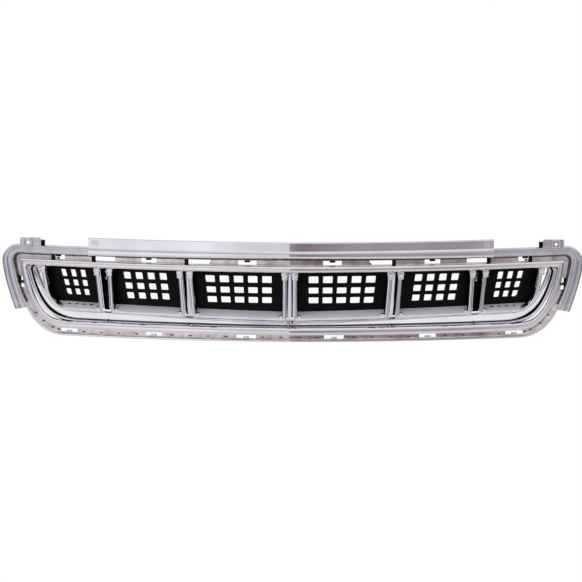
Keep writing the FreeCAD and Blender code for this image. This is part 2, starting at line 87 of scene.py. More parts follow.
def place(x, z, depth):
    return Vector((x, sweep_back(x) + depth - TAB_FACE_Y, z - TAB_HOLE_Z)) * MM


print("sweep at the ends:", round(sweep_back(599), 1), "mm")

# %% [markdown]
# ## Outlines
#
# A maker of such mouldings starts from a few outlines in front view: the groove, the outside and the inside
# of the ring, the sill. Here each one runs from the top centre round the left end to the bottom centre, as
# straight legs and Bezier legs. Outlines that are walked with the same number of steps per leg match point
# for point, so a skin can be stretched between them.

# %% Walk along outlines
def even_steps(points, count):
    """The same line, as count equal steps."""
    points = [Vector(point) for point in points]
    ends = [0.0]
    for a, b in zip(points, points[1:]):
        ends.append(ends[-1] + (b - a).length)
    steps, leg = [], 0
    for step in range(count + 1):
        along = ends[-1] * step / count
        while leg < len(points) - 2 and ends[leg + 1] < along:
            leg += 1
        share = (along - ends[leg]) / max(ends[leg + 1] - ends[leg], 1e-9)
        steps.append(points[leg].lerp(points[leg + 1], min(share, 1.0)))
    return steps


BEZIER_STEPS = 160


def bezier(corners):
    """A fine line along a Bezier leg, given by its two ends with the handles between them."""
    return interpolate_bezier(*[Vector(corner) for corner in corners], BEZIER_STEPS)


def walk(legs, counts):
    """Steps along legs of two points (straight) or four points (Bezier), each leg with its own count."""
    path = []
    for leg, count in zip(legs, counts):
        if len(leg) == 4:
            leg = bezier(leg)
        steps = even_steps(leg, count)
        path += steps[1:] if path else steps
    return path


RING_COUNTS = (44, 8, 46, 36)
LIP_CENTRE, LIP_END, LIP_END_X = 65.6, 60.5, 562.0
RING_TOP, RING_INNER_TOP, RING_BOTTOM, RING_INNER_BOTTOM = 50.0, 37.4, -90.0, -75.0
GROOVE_END = [(-575, 46), (-554.45, -91), (-487, -102), (-471, -102)]
GROOVE_FOOT = [(-471, -102), (0, -100.5)]
groove_path = walk([
    [(0, LIP_CENTRE), (-LIP_END_X, LIP_END)],
    [(-LIP_END_X, LIP_END), (-569.3, 60.4), (-575, 53.6), (-575, 46)],
    GROOVE_END,
    GROOVE_FOOT,
], RING_COUNTS)
ring_outer = walk([
    [(0, RING_TOP), (-553, RING_TOP)],
    [(-553, RING_TOP), (-555.8, RING_TOP), (-558, 47.8), (-558, 45)],
    [(-558, 45), (-557.3, 10), (-530.5, RING_BOTTOM), (-471, RING_BOTTOM)],
    [(-471, RING_BOTTOM), (0, RING_BOTTOM)],
], RING_COUNTS)
ring_inner = walk([
    [(0, RING_INNER_TOP), (-541, RING_INNER_TOP)],
    [(-541, RING_INNER_TOP), (-543.8, RING_INNER_TOP), (-546, 34.8), (-546, 32)],
    [(-546, 32), (-519.3, -84), (-491, RING_INNER_BOTTOM), (-440, RING_INNER_BOTTOM)],
    [(-440, RING_INNER_BOTTOM), (0, RING_INNER_BOTTOM)],
], RING_COUNTS)
print("steps round half the ring:", len(ring_outer) - 1)

# %% [markdown]
# ## Skins, bars and plates
#
# Three kinds of shape make almost everything here. A bar is a closed section carried along matched
# outlines: a grid is created, its rows are laid on the outlines, and the last row is welded to the first. A
# plate is an open grid that gets its thickness from the solidify operator after its slots are cut. Small
# moulded blocks are boxes with bevelled edges. Left halves are mirrored, welded at the crease, and only
# then is the shell turned outwards.

# %% Skin helpers
def loft(rows, closed=True):
    """A skin through matched rows of points; closed welds the last row to the first."""
    if closed:
        rows = rows + rows[:1]
    bm = bmesh.new()
    across = len(rows[0])
    bmesh.ops.create_grid(bm, x_segments=across - 1, y_segments=len(rows) - 1, size=1)
    bm.verts.ensure_lookup_table()
    for index, vert in enumerate(bm.verts):
        row, column = divmod(index, across)
        vert.co = rows[row][column]
    bmesh.ops.remove_doubles(bm, verts=bm.verts[:], dist=WELD)
    return bm


def row_between(outer, inner, share, depth):
    """A row of points part of the way from one outline to the other."""
    return [place(*a.lerp(b, share), depth) for a, b in zip(outer, inner)]


def everything(bm):
    return bm.verts[:] + bm.edges[:] + bm.faces[:]


def both_halves(bm):
    """The left half and its mirror image, welded at the centre."""
    bmesh.ops.mirror(bm, geom=everything(bm), matrix=Matrix.Identity(4), merge_dist=WELD, axis="X")
    bmesh.ops.remove_doubles(bm, verts=bm.verts[:], dist=WELD)
    return bm


def close_ends(bm):
    """Closes open ends and turns the shell outwards."""
    edges = [edge for edge in bm.edges if edge.is_boundary]
    bmesh.ops.holes_fill(bm, edges=edges, sides=0)
    bmesh.ops.recalc_face_normals(bm, faces=bm.faces[:])
    return bm


def bevel(bm, items, radius, segments, affect="EDGES", clamp=False):
    """Rounds edges or corners; radius in mm."""
    bmesh.ops.bevel(bm, geom=items, offset=radius * MM, offset_type="OFFSET", segments=segments, profile=0.5,
                    affect=affect, clamp_overlap=clamp, material=-1)


def round_edges(bm, radius, segments=2, angle=40.0, where=None):
    """Bevels the edges that are sharper than angle; radius in mm."""
    limit = math.radians(angle)
    edges = [edge for edge in bm.edges if edge.is_manifold and edge.calc_face_angle(0) > limit]
    if where:
        edges = [edge for edge in edges if where(edge)]
    bevel(bm, edges, radius, segments, clamp=True)
    return bm


def face_forward(bm):
    """Turns an open skin so that its faces look to the front."""
    bmesh.ops.recalc_face_normals(bm, faces=bm.faces[:])
    if sum(face.normal.y * face.calc_area() for face in bm.faces) > 0:
        bmesh.ops.reverse_faces(bm, faces=bm.faces[:])
    return bm


def thicken(bm, thickness):
    """Gives a skin its thickness, away from the side its faces look to."""
    bmesh.ops.solidify(bm, geom=bm.faces[:], thickness=thickness * MM)
    return bm


def add(target, part, material=0):
    """Adds a part to a piece with one of the piece's materials, and frees the part."""
    for face in part.faces:
        face.material_index = material
    gather(target, part)


def gather(target, part):
    """Adds a part whose faces already have their materials."""
    mesh = bpy.data.meshes.new("part")
    part.to_mesh(mesh)
    target.from_mesh(mesh)
    bpy.data.meshes.remove(mesh)
    part.free()


def mirrored_copy(bm):
    """The same part for the other side."""
    copy = bm.copy()
    bmesh.ops.scale(copy, vec=(-1, 1, 1), verts=copy.verts[:])
    bmesh.ops.recalc_face_normals(copy, faces=copy.faces[:])
    return copy


def put_in_scene(name, data):
    item = bpy.data.objects.new(name, data)
    bpy.context.scene.collection.objects.link(item)
    return item


def finish_piece(name, bm, materials, replaced=None, smooth_angle=32.0):
    """Makes the object: smooth where it curves, sharp at corners and along the centre crease."""
    limit = math.radians(smooth_angle)
    for face in bm.faces:
        face.smooth = True
    for edge in bm.edges:
        on_crease = all(abs(vert.co.x) < WELD for vert in edge.verts)
        edge.smooth = not on_crease and edge.is_manifold and edge.calc_face_angle(0) < limit
    mesh = bpy.data.meshes.new(name)
    bm.to_mesh(mesh)
    bm.free()
    for material in materials:
        mesh.materials.append(material)
    piece = put_in_scene(name, mesh)
    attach(piece, "root")
    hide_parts(replaced or name.removesuffix("_looks"))
    triangles = sum(len(polygon.vertices) - 2 for polygon in mesh.polygons)
    print(name, triangles, "triangles")


# %% [markdown]
# ## Surface effects
#
# Chromed plastic is never a perfect mirror. It has a faint waviness from the moulding, hair-fine wipe marks
# and cloudy patches where it was handled. Each effect is a node group that gives out only a value, so the
# same one serves every metal with different settings. The moulded black plastic gets its own grain.

# %% Build the effect groups
def effect_group(name, inputs, outputs):
    """An empty node group with named inputs (name, default) and outputs."""
    group = bpy.data.node_groups.new(name, "ShaderNodeTree")
    for title, default in inputs:
        socket = group.interface.new_socket(title, in_out="INPUT", socket_type="NodeSocketFloat")
        socket.default_value = default
    for title, kind in outputs:
        group.interface.new_socket(title, in_out="OUTPUT", socket_type=kind)
    return group, group.nodes.new("NodeGroupInput"), group.nodes.new("NodeGroupOutput")


def noise(tree, scale, detail, stretch=None):
    """Noise on object coordinates, stretched along the axes if asked."""
    place_node = tree.nodes.new("ShaderNodeTexCoord")
    mapping = tree.nodes.new("ShaderNodeMapping")
    mapping.inputs["Scale"].default_value = stretch or (1, 1, 1)
    texture = tree.nodes.new("ShaderNodeTexNoise")
    texture.inputs["Scale"].default_value = scale
    texture.inputs["Detail"].default_value = detail
    tree.links.new(place_node.outputs["Object"], mapping.inputs["Vector"])
    tree.links.new(mapping.outputs["Vector"], texture.inputs["Vector"])
    return texture.outputs["Fac"]


def sum_of(tree, *values):
    """Adds up values; each is a socket or a number."""
    total = values[0]
    for value in values[1:]:
        total = worked(tree, "ADD", total, value)
    return total


def feed(tree, value, socket):
    """Links a socket to another one, or sets it to a plain value."""
    if isinstance(value, bpy.types.NodeSocket):
        tree.links.new(value, socket)
    else:
        socket.default_value = value


def worked(tree, operation, a, b):
    node = tree.nodes.new("ShaderNodeMath")
    node.operation = operation
    feed(tree, a, node.inputs[0])
    feed(tree, b, node.inputs[1])
    return node.outputs[0]


def mixed(tree, factor, a, b, blend="MIX"):
    """A mix of two colours; each of factor, a and b is a socket or a value."""
    node = tree.nodes.new("ShaderNodeMix")
    node.data_type = "RGBA"
    node.blend_type = blend
    for index, value in ((0, factor), (6, a), (7, b)):
        feed(tree, value, node.inputs[index])
    return node.outputs[2]


def spread(tree, value, low, high, to_low, to_high):
    """Maps a range of a value to another range."""
    node = tree.nodes.new("ShaderNodeMapRange")
    for title, number in (("From Min", low), ("From Max", high), ("To Min", to_low), ("To Max", to_high)):
        node.inputs[title].default_value = number
    tree.links.new(value, node.inputs["Value"])
    return node.outputs["Result"]


handling, handling_in, handling_out = effect_group(
    "handling_marks", [("Shine", 0.05), ("Cloudiness", 0.05), ("Wipe Marks", 0.04)],
    [("Roughness", "NodeSocketFloat"), ("Height", "NodeSocketFloat")])
clouds = spread(handling, noise(handling, 9.0, 5.0), 0.42, 0.72, 0.0, 1.0)
wipes = spread(handling, noise(handling, 60.0, 6.0, (1.0, 8.0, 14.0)), 0.55, 0.80, 0.0, 1.0)
waves = noise(handling, 38.0, 1.0)
dulling = sum_of(
    handling, handling_in.outputs["Shine"],
    worked(handling, "MULTIPLY", clouds, handling_in.outputs["Cloudiness"]),
    worked(handling, "MULTIPLY", wipes, handling_in.outputs["Wipe Marks"]))
scratched = sum_of(handling, waves, worked(handling, "MULTIPLY", wipes, -0.04))
handling.links.new(dulling, handling_out.inputs["Roughness"])
handling.links.new(scratched, handling_out.inputs["Height"])

grain, grain_in, grain_out = effect_group(
    "moulding_grain", [("Shine", 0.35), ("Variation", 0.15)],
    [("Roughness", "NodeSocketFloat"), ("Height", "NodeSocketFloat")])
fine = noise(grain, 900.0, 2.0)
patches = noise(grain, 22.0, 3.0)
uneven = worked(grain, "MULTIPLY", patches, grain_in.outputs["Variation"])
grain.links.new(sum_of(grain, grain_in.outputs["Shine"], uneven), grain_out.inputs["Roughness"])
grain.links.new(sum_of(grain, fine, worked(grain, "MULTIPLY", patches, 0.3)), grain_out.inputs["Height"])

tint, tint_in, tint_out = effect_group(
    "colour_drift", [("Patch Size", 14.0)], [("Mask", "NodeSocketFloat")])
drift = noise(tint, 14.0, 4.0)
tint.links.new(tint_in.outputs["Patch Size"], drift.node.inputs["Scale"])
tint.links.new(spread(tint, drift, 0.38, 0.66, 0.0, 1.0), tint_out.inputs["Mask"])
print("effect groups:", [group.name for group in bpy.data.node_groups])

# %% [markdown]
# ## Finishes
#
# The ring, header and bezels are bright decorative chrome with a cool tint. The groove floor has the same
# plating but cloudier, and its warmer colour with darker blotches is painted shade and painted reflection
# for the sunk groove. The end wings are a softer satin chrome. The inserts and clips are black moulded
# plastic, and the screws are zinc plated steel. The cells' ledges get a duller finish that is only partly
# metallic, so that they stay pale beside the black mesh, and a dark chrome paints the shade in the groove's
# marks and along its shaded edge. Each finish is one Principled shader fed by the groups, because plating
# and plastic differ in colour, metalness and gloss, and little else.

# %% Mix the finishes
def group_node(tree, group, **values):
    node = tree.nodes.new("ShaderNodeGroup")
    node.node_tree = group
    for title, value in values.items():
        node.inputs[title.replace("_", " ")].default_value = value
    return node


def finish(name, light, dark, metallic, effect, bump, patch_size=14.0, specular=0.5):
    """A Principled finish between two shades; an effect group gives its roughness and relief."""
    material = bpy.data.materials.new(name)
    material.use_nodes = True
    tree = material.node_tree
    shader = tree.nodes["Principled BSDF"]
    shader.inputs["Metallic"].default_value = metallic
    shader.inputs["Specular IOR Level"].default_value = specular
    group, values = effect
    marks = group_node(tree, group, **values)
    tree.links.new(marks.outputs["Roughness"], shader.inputs["Roughness"])
    relief = tree.nodes.new("ShaderNodeBump")
    relief.inputs["Strength"].default_value = bump[0]
    relief.inputs["Distance"].default_value = bump[1] * MM
    tree.links.new(marks.outputs["Height"], relief.inputs["Height"])
    tree.links.new(relief.outputs["Normal"], shader.inputs["Normal"])
    mask = group_node(tree, tint, Patch_Size=patch_size).outputs["Mask"]
    tree.links.new(mixed(tree, mask, (*light, 1), (*dark, 1)), shader.inputs["Base Color"])
    return material


bright_chrome = finish(
    "bright_chrome", (0.93, 0.92, 0.95), (0.86, 0.85, 0.89), 1.0,
    (handling, {"Shine": 0.035, "Cloudiness": 0.05, "Wipe_Marks": 0.05}), (0.12, 0.25))
# The groove's warm colour with darker blotches is painted shade and painted reflection in the sunk groove.
groove_chrome = finish(
    "groove_chrome", (0.80, 0.74, 0.70), (0.52, 0.44, 0.40), 1.0,
    (handling, {"Shine": 0.10, "Cloudiness": 0.12, "Wipe_Marks": 0.06}), (0.35, 0.5), patch_size=46.0)
satin_chrome = finish(
    "satin_chrome", (0.80, 0.79, 0.82), (0.68, 0.67, 0.70), 1.0,
    (handling, {"Shine": 0.17, "Cloudiness": 0.10, "Wipe_Marks": 0.06}), (0.25, 0.3), patch_size=30.0)
ledge_chrome = finish(
    "ledge_chrome", (0.88, 0.90, 0.95), (0.80, 0.83, 0.88), 0.45,
    (handling, {"Shine": 0.30, "Cloudiness": 0.08, "Wipe_Marks": 0.05}), (0.2, 0.3), patch_size=30.0)
black_mesh = finish(
    "black_mesh", (0.0030, 0.0030, 0.0034), (0.0012, 0.0012, 0.0014), 0.0,
    (grain, {"Shine": 0.30, "Variation": 0.20}), (0.25, 0.06), patch_size=60.0, specular=0.10)
black_clip = finish(
    "black_clip", (0.0050, 0.0050, 0.0056), (0.0022, 0.0022, 0.0026), 0.0,
    (grain, {"Shine": 0.38, "Variation": 0.15}), (0.25, 0.06), patch_size=90.0, specular=0.14)
# Dark chrome for painted shade: the groove's shaded edge and the small dark marks.
shadow_chrome = finish(
    "painted_shade_chrome", (0.22, 0.17, 0.16), (0.10, 0.08, 0.08), 1.0,
    (handling, {"Shine": 0.22, "Cloudiness": 0.10, "Wipe_Marks": 0.04}), (0.3, 0.3), patch_size=120.0)
zinc_steel = finish(
    "zinc_steel", (0.62, 0.63, 0.62), (0.48, 0.49, 0.47), 1.0,
    (handling, {"Shine": 0.24, "Cloudiness": 0.15, "Wipe_Marks": 0.10}), (0.35, 0.3), patch_size=220.0)
print("finishes:", [material.name for material in bpy.data.materials])

# %% [markdown]
# ## The ring
#
# The ring is the bright bar all round the cells. It is a hollow moulding: a crowned face about 13 mm wide,
# an outer wall that reaches back to the groove's floor and a short inner lip. It could be a curve with a
# bevel, but the bar is wider at the bottom than at the top, so a closed section is stretched between the
# ring's two outlines.

# %% Ring bar
GROOVE_FLOOR, FLOOR_BACK = 18.0, 20.5
# (share of the way from the outer to the inner edge, depth) round the bar's section.
RING_SECTION = [
    (0.0, FLOOR_BACK), (0.0, 2.2), (0.06, 0.9), (0.16, 0.35), (0.5, 0.0), (0.80, 0.35), (0.92, 1.0),
    (1.0, 2.6), (1.0, 8.0), (0.84, 8.0), (0.82, 3.2), (0.18, 3.2), (0.16, FLOOR_BACK),
]
ring = loft([row_between(ring_outer, ring_inner, share, depth) for share, depth in RING_SECTION])
close_ends(both_halves(ring))
ring_frame = bmesh.new()
add(ring_frame, ring, 0)

# %% [markdown]
# ## The groove
#
# Around the ring runs a sunk floor, 18 mm behind the face. The bumper cover's tongues pass through its
# slots: five in each upper half, three in each lower half and one beside each end. The floor is an open
# grid between the groove's outline and the ring. Flat cuts divide it along each slot's four sides, the
# faces inside are deleted, and the solidify operator then gives the floor and the slots their 2.5 mm walls.
# The strip along the groove's outer edge has the dark finish, except below, and stands for the shadow that
# lies there.

# %% Groove floor with its slots
UPPER_SLOTS = ((67, 105), (161, 214), (272, 304), (358, 407), (464, 493))
LOWER_SLOTS = ((69, 109), (262, 296), (439, 475))
UPPER_SLOT_Z, LOWER_SLOT_Z = (50.6, 59.5), (-99.8, -92.0)
SIDE_SLOT = [(-566.0, 12.0), (-560.0, -12.0), (-552.5, -12.0), (-557.0, 12.0)]


def cut_slot(bm, corners):
    """Cuts a four-sided slot, given by its corners in order, out of a skin."""
    middle = sum((Vector(corner) for corner in corners), Vector((0, 0))) / len(corners)
    reach = max((Vector(corner) - middle).length for corner in corners) + 25
    sides = []
    for a, b in zip(corners, corners[1:] + corners[:1]):
        normal = Vector((b[1] - a[1], a[0] - b[0])).normalized()
        if normal.dot(Vector(a) - middle) < 0:
            normal = -normal
        sides.append((Vector(a), normal))
    for point, normal in sides:
        near = [face for face in bm.faces
                if abs(face.calc_center_median().x / MM - middle.x) < reach
                and abs(face.calc_center_median().z / MM + TAB_HOLE_Z - middle.y) < reach]
        parts = set(near)
        for face in near:
            parts.update(face.edges)
            parts.update(face.verts)
        bmesh.ops.bisect_plane(bm, geom=list(parts), dist=WELD, plane_co=place(point.x, point.y, 0),
                               plane_no=(normal.x, 0, normal.y))
    inside = []
    for face in bm.faces:
        centre = face.calc_center_median()
        flat = Vector((centre.x / MM, centre.z / MM + TAB_HOLE_Z))
        if all(normal.dot(flat - point) < 0 for point, normal in sides):
            inside.append(face)
    bmesh.ops.delete(bm, geom=inside, context="FACES")


def box_corners(x_ends, z_ends):
    (x1, x2), (z1, z2) = x_ends, z_ends
    return [(x1, z1), (x2, z1), (x2, z2), (x1, z2)]


FLOOR_SHARES = (0.0, 0.22, 0.45, 0.66, 1.0)
DARK_ABOVE = -0.125     # metres: the outer strip is dark above this height
floor_rows = [row_between(ring_outer, groove_path, share, GROOVE_FLOOR) for share in FLOOR_SHARES]
floor_plate = loft(floor_rows, closed=False)
strip = len(floor_plate.faces) // (len(FLOOR_SHARES) - 1)
# The floor's outer strip above DARK_ABOVE gets the dark chrome: painted shadow under the header's lip and
# beside the wings.
for index, face in enumerate(floor_plate.faces):
    painted_shadow = index // strip == len(FLOOR_SHARES) - 2 and face.calc_center_median().z > DARK_ABOVE
    face.material_index = 2 if painted_shadow else 1
for slots, heights in ((UPPER_SLOTS, UPPER_SLOT_Z), (LOWER_SLOTS, LOWER_SLOT_Z)):
    for near, far in slots:
        cut_slot(floor_plate, box_corners((-far, -near), heights))
cut_slot(floor_plate, SIDE_SLOT)
both_halves(floor_plate)
thicken(face_forward(floor_plate), FLOOR_BACK - GROOVE_FLOOR)
print("groove floor faces:", len(floor_plate.faces))
gather(ring_frame, floor_plate)

# %% [markdown]
# ## Lower lip, rear flange and sink marks
#
# Below the groove the moulding ends in a bright lip that stands forward again. Behind the header and the
# wings a flat flange takes their screws. Small oval sink marks lie along the groove, paired above and
# single below, where ribs and clips are moulded on the back. The lip is another bar, the flange is flat
# plate, and each mark is a flattened ball that stands about a millimetre out of the floor, in the dark
# chrome that paints the shade of a small recess.

# %% Lip, flange and marks
WING_FACE = 8.0
corner_steps, run_steps = 40, 36
LIP_STARTS_Z, WING_ENDS_Z = -46, -53
groove_end = [point for point in bezier(GROOVE_END) if point.y <= LIP_STARTS_Z]
lip_inner = even_steps(groove_end, corner_steps) + even_steps(GROOVE_FOOT, run_steps)[1:]
lip_outer = walk([
    [(-549, -46), (-531.7, -92.7), (-494.3, -106.5), (-471, -106.5)],
    [(-471, -106.5), (0, -104.6)],
], (corner_steps, run_steps))
LIP_SECTION = [
    (0.0, FLOOR_BACK), (0.0, 9.0), (0.12, 8.2), (0.5, WING_FACE), (0.88, 8.3), (1.0, 9.4), (1.0, FLOOR_BACK),
]
lower_lip = loft([row_between(lip_inner, lip_outer, share, depth) for share, depth in LIP_SECTION])
add(ring_frame, close_ends(both_halves(lower_lip)), 0)


def plate(x_ends, z_ends, depth, thickness, steps=24):
    """A flat plate that follows the sweep."""
    xs = [x_ends[0] + (x_ends[1] - x_ends[0]) * step / steps for step in range(steps + 1)]
    skin = loft([[place(x, z, depth) for x in xs] for z in z_ends], closed=False)
    return thicken(face_forward(skin), thickness)


for x_ends, z_ends in (((-407, 0), (64, 93)), ((-548, -400), (61, 75)), ((-590, -573.5), (22, 38))):
    flange = plate(x_ends, z_ends, GROOVE_FLOOR, FLOOR_BACK - GROOVE_FLOOR)
    add(ring_frame, mirrored_copy(flange), 1)
    add(ring_frame, flange, 1)


def ball(x, z, depth, size, segments=12, rings=8):
    """A flattened ball: size is its radii across, deep and high, in mm."""
    bm = bmesh.new()
    bmesh.ops.create_uvsphere(bm, u_segments=segments, v_segments=rings, radius=1.0)
    bmesh.ops.scale(bm, vec=[radius * MM for radius in size], verts=bm.verts[:])
    bmesh.ops.translate(bm, vec=place(x, z, depth), verts=bm.verts[:])
    return bm


def in_slot(x, slots, margin=6):
    return any(near - margin < abs(x) < far + margin for near, far in slots)


def lip_height(x):
    """Lower edge of the header and of the end flanges."""
    return LIP_CENTRE + (LIP_END - LIP_CENTRE) * abs(x) / LIP_END_X


def groove_bottom(x):
    (end_x, end_z), (_, centre_z) = GROOVE_FOOT
    return centre_z + (end_z - centre_z) * abs(x / end_x)


sink_marks = []
for step in range(16):
    for offset in (-9, 9):
        x = 22 + step * 36 + offset
        if not in_slot(x, UPPER_SLOTS) and x < 540:
            sink_marks.append((x, lip_height(x) - 2.6, (4.2, 1.1, 1.7)))
for step in range(13):
    x = 18 + step * 37
    if not in_slot(x, LOWER_SLOTS, 4) and x < 470:
        sink_marks.append((x, groove_bottom(x) + 4.0, (4.6, 1.2, 1.3)))
for share in (0.18, 0.36, 0.60, 0.76):
    x, z = groove_end[int(share * (len(groove_end) - 1))]
    sink_marks.append((abs(x) - 4, z + 5, (3.4, 1.2, 2.0)))
# The marks take the dark chrome: painted shade of small recesses.
for x, z, size in sink_marks:
    for side in (-1, 1):
        add(ring_frame, ball(side * x, z, GROOVE_FLOOR, size), 2)
print("sink marks:", 2 * len(sink_marks))
finish_piece("ring_frame_looks", ring_frame, [bright_chrome, groove_chrome, shadow_chrome])

# %% [markdown]
# ## The header
#
# The header is the tall cover over the top edge: an upper face, a step forward along its foot, a lower band
# and a lip that turns back to the groove's floor. It is drawn as one closed section whose foot rises
# towards the centre. Near each end a shallow ribbed recess is pressed into the upper face, made by
# insetting those faces.

# %% Header panel
HEADER_HALF = 412.7
RECESS_X, RECESS_Z = (391.0, 405.0), (83.0, 93.5)
header_xs = [-RECESS_X[0] * step / 34 for step in range(35)]
header_xs += [-394.5, -398, -401.5, -RECESS_X[1], -HEADER_HALF]


def header_section(x):
    """(height, depth) round the header's section."""
    lip = lip_height(x)
    return [
        (97.5, 15.0), (97.5, 6.0), (97.2, 5.0), (96.5, 4.5), (93.5, 4.5), (83.0, 4.5), (80.2, 4.5),
        (79.3, 2.3), (78.6, 2.0), (lip + 3.0, 2.0), (lip + 1.0, 2.6), (lip, 4.0), (lip, 17.8),
        (lip + 2.2, 17.8), (lip + 2.2, 5.0),
        (77.5, 4.6), (78.6, 7.2), (94.0, 7.2), (95.2, 9.0), (95.2, 15.0),
    ]


sections = [header_section(x) for x in header_xs]
header = loft([[place(x, *section[corner]) for x, section in zip(header_xs, sections)]
               for corner in range(len(sections[0]))])
close_ends(both_halves(header))
recess_faces = []
for face in header.faces:
    centre = face.calc_center_median() / MM
    across = RECESS_X[0] < abs(centre.x) < RECESS_X[1]
    if across and RECESS_Z[0] < centre.z + TAB_HOLE_Z < RECESS_Z[1] and face.normal.y < -0.5:
        recess_faces.append(face)
for side in (-1, 1):
    patch = [face for face in recess_faces if face.is_valid and face.calc_center_median().x * side > 0]
    bmesh.ops.inset_region(header, faces=patch, thickness=1.0 * MM, depth=-1.2 * MM, use_even_offset=True)
header_panel = bmesh.new()
add(header_panel, header)


def box(x_ends, z_ends, front, back, radius):
    """A moulded block that follows the sweep, with rounded edges."""
    (x1, x2), (z1, z2) = x_ends, z_ends
    bm = bmesh.new()
    bmesh.ops.create_cube(bm, size=1.0)
    for vert in bm.verts:
        x = x1 if vert.co.x < 0 else x2
        z = z1 if vert.co.z < 0 else z2
        vert.co = place(x, z, front if vert.co.y < 0 else back)
    bmesh.ops.recalc_face_normals(bm, faces=bm.faces[:])
    return round_edges(bm, radius)


for side in (-1, 1):
    for x in (394.6, 398.0, 401.4):
        ends = sorted((side * (x - 0.7), side * (x + 0.7)))
        add(header_panel, box(ends, (85.0, 92.0), 4.7, 6.2, 0.3))


def post(x, z, front, back, radius, bore=1.8, segments=20):
    """A round screw boss with a blind pilot hole in its back end."""
    bm = bmesh.new()
    bmesh.ops.create_cone(bm, cap_ends=True, segments=segments, radius1=radius * MM, radius2=radius * MM,
                          depth=(back - front) * MM)
    top = max(bm.faces, key=lambda face: face.calc_center_median().z)
    bmesh.ops.inset_region(bm, faces=[top], thickness=(radius - bore) * MM)
    bmesh.ops.inset_region(bm, faces=[top], thickness=0.15 * MM, depth=-(back - front) * 0.6 * MM)
    bmesh.ops.rotate(bm, matrix=Matrix.Rotation(math.radians(-90), 3, "X"), verts=bm.verts[:])
    bmesh.ops.translate(bm, vec=place(x, z, (front + back) / 2), verts=bm.verts[:])
    return bm


HEADER_SCREWS = ((30, 85), (130, 85), (238, 85), (338, 85))
for x, z in HEADER_SCREWS:
    for side in (-1, 1):
        add(header_panel, post(side * x, z, 6.5, 17.8, 4.5))
finish_piece("header_panel_looks", header_panel, [bright_chrome])

# %% [markdown]
# ## The end wings and their tabs
#
# Each wing is a softer, ribbed flange: it runs level beside the header, turns the top corner and sweeps
# down the end of the grille to a point. Low ribs run its whole length. On top stands a flat mounting tab
# with a bolt hole in a square ribbed pocket. The left wing is stretched between the groove's outline and
# its own outer outline; the right one is its mirror image, as the real tools are.

# %% Build a wing
WING_COUNTS = (30, 16, 34)
wing_end = [point for point in bezier(GROOVE_END) if point.y >= WING_ENDS_Z]
wing_inner = walk([
    [(-413, lip_height(413)), (-LIP_END_X, LIP_END)],
    [(-LIP_END_X, LIP_END), (-569.3, 60.4), (-575, 53.6), (-575, 46)],
], WING_COUNTS[:2]) + even_steps(wing_end, WING_COUNTS[2])[1:]
wing_outer = walk([
    [(-413, 78.5), (-566, 77.5)],
    [(-566, 77.5), (-584, 76.5), (-597, 62), (-599, 45)],
    [(-599, 45), (-597.5, 12), (-585, -24), (-573, -58)],
], WING_COUNTS)
WING_SECTION = [
    (0.0, 17.8), (0.0, 10.6), (0.03, 9.0), (0.09, 8.1), (0.18, 8.0), (0.23, 9.3), (0.36, 9.5), (0.40, 8.6),
    (0.55, 8.5), (0.60, 9.9), (0.78, 10.2), (0.83, 8.3), (0.93, 8.2), (0.98, 9.0), (1.0, 10.2), (1.0, 17.8),
    (0.90, 17.8), (0.90, 12.6), (0.10, 12.6), (0.10, 17.8),
]


def plate_with_hole(hole, radius, x_ends, z_ends, front, back, segments=32):
    """A flat plate across the frame's Y with a round hole, all in the frame's own mm."""
    bm = bmesh.new()
    ring = bmesh.ops.create_circle(bm, segments=segments, radius=radius * MM)["verts"]
    bmesh.ops.rotate(bm, matrix=Matrix.Rotation(math.radians(90), 3, "X"), verts=ring)
    bmesh.ops.translate(bm, vec=Vector((hole[0], front, hole[1])) * MM, verts=ring)
    grown = bmesh.ops.extrude_edge_only(bm, edges=bm.edges[:])["geom"]
    for vert in [item for item in grown if isinstance(item, bmesh.types.BMVert)]:
        out = Vector((vert.co.x / MM - hole[0], vert.co.z / MM - hole[1]))
        reach_x = (x_ends[1] - hole[0]) if out.x > 0 else (hole[0] - x_ends[0])
        reach_z = (z_ends[1] - hole[1]) if out.y > 0 else (hole[1] - z_ends[0])
        share = min(reach_x / max(abs(out.x), 1e-6), reach_z / max(abs(out.y), 1e-6))
        vert.co = Vector((hole[0] + out.x * share, front, hole[1] + out.y * share)) * MM
    return thicken(face_forward(bm), back - front)


def flat_box(x_ends, y_ends, z_ends, radius=0.5):
    """A rounded block square to the frame, in the frame's own mm."""
    bm = bmesh.new()
    bmesh.ops.create_cube(bm, size=1.0)
    for vert in bm.verts:
        ends = zip(vert.co, (x_ends, y_ends, z_ends))
        vert.co = Vector([limits[0] if value < 0 else limits[1] for value, limits in ends]) * MM
    bmesh.ops.recalc_face_normals(bm, faces=bm.faces[:])
    return round_edges(bm, radius)


TAB_HOLE_X = 541.5
wing = bmesh.new()
skin = loft([row_between(wing_outer, wing_inner, share, depth) for share, depth in WING_SECTION])
add(wing, close_ends(skin))
add(wing, plate_with_hole((-TAB_HOLE_X, 0), 3.25, (-558, -514), (-7.5, 10), 0.0, 2.5))
POCKET_RIBS = (
    ((-550, -548), (-7.5, 9.5)), ((-535, -533), (-7.5, 9.5)),
    ((-550, -533), (7.5, 9.5)), ((-550, -533), (-7.5, -5.5)),
)
for x_ends, z_ends in POCKET_RIBS:
    add(wing, flat_box(x_ends, (-5.0, 0.4), z_ends))
for x in (-556.5, -529, -524, -519):
    add(wing, flat_box((x - 0.7, x + 0.7), (-1.4, 0.4), (-6.5, 9.2), 0.4))
add(wing, plate((-558, -514), (76.4, 77.9), WING_FACE, 17.8 - WING_FACE, steps=8))
WING_SCREWS = ((440, 69.5), (535, 68.5), (584, 30))
for x, z in WING_SCREWS:
    add(wing, post(-x, z, 10.5, 17.8, 4.5))
right_wing = mirrored_copy(wing)
finish_piece("end_wing_left_looks", wing, [satin_chrome])
finish_piece("end_wing_right_looks", right_wing, [satin_chrome])
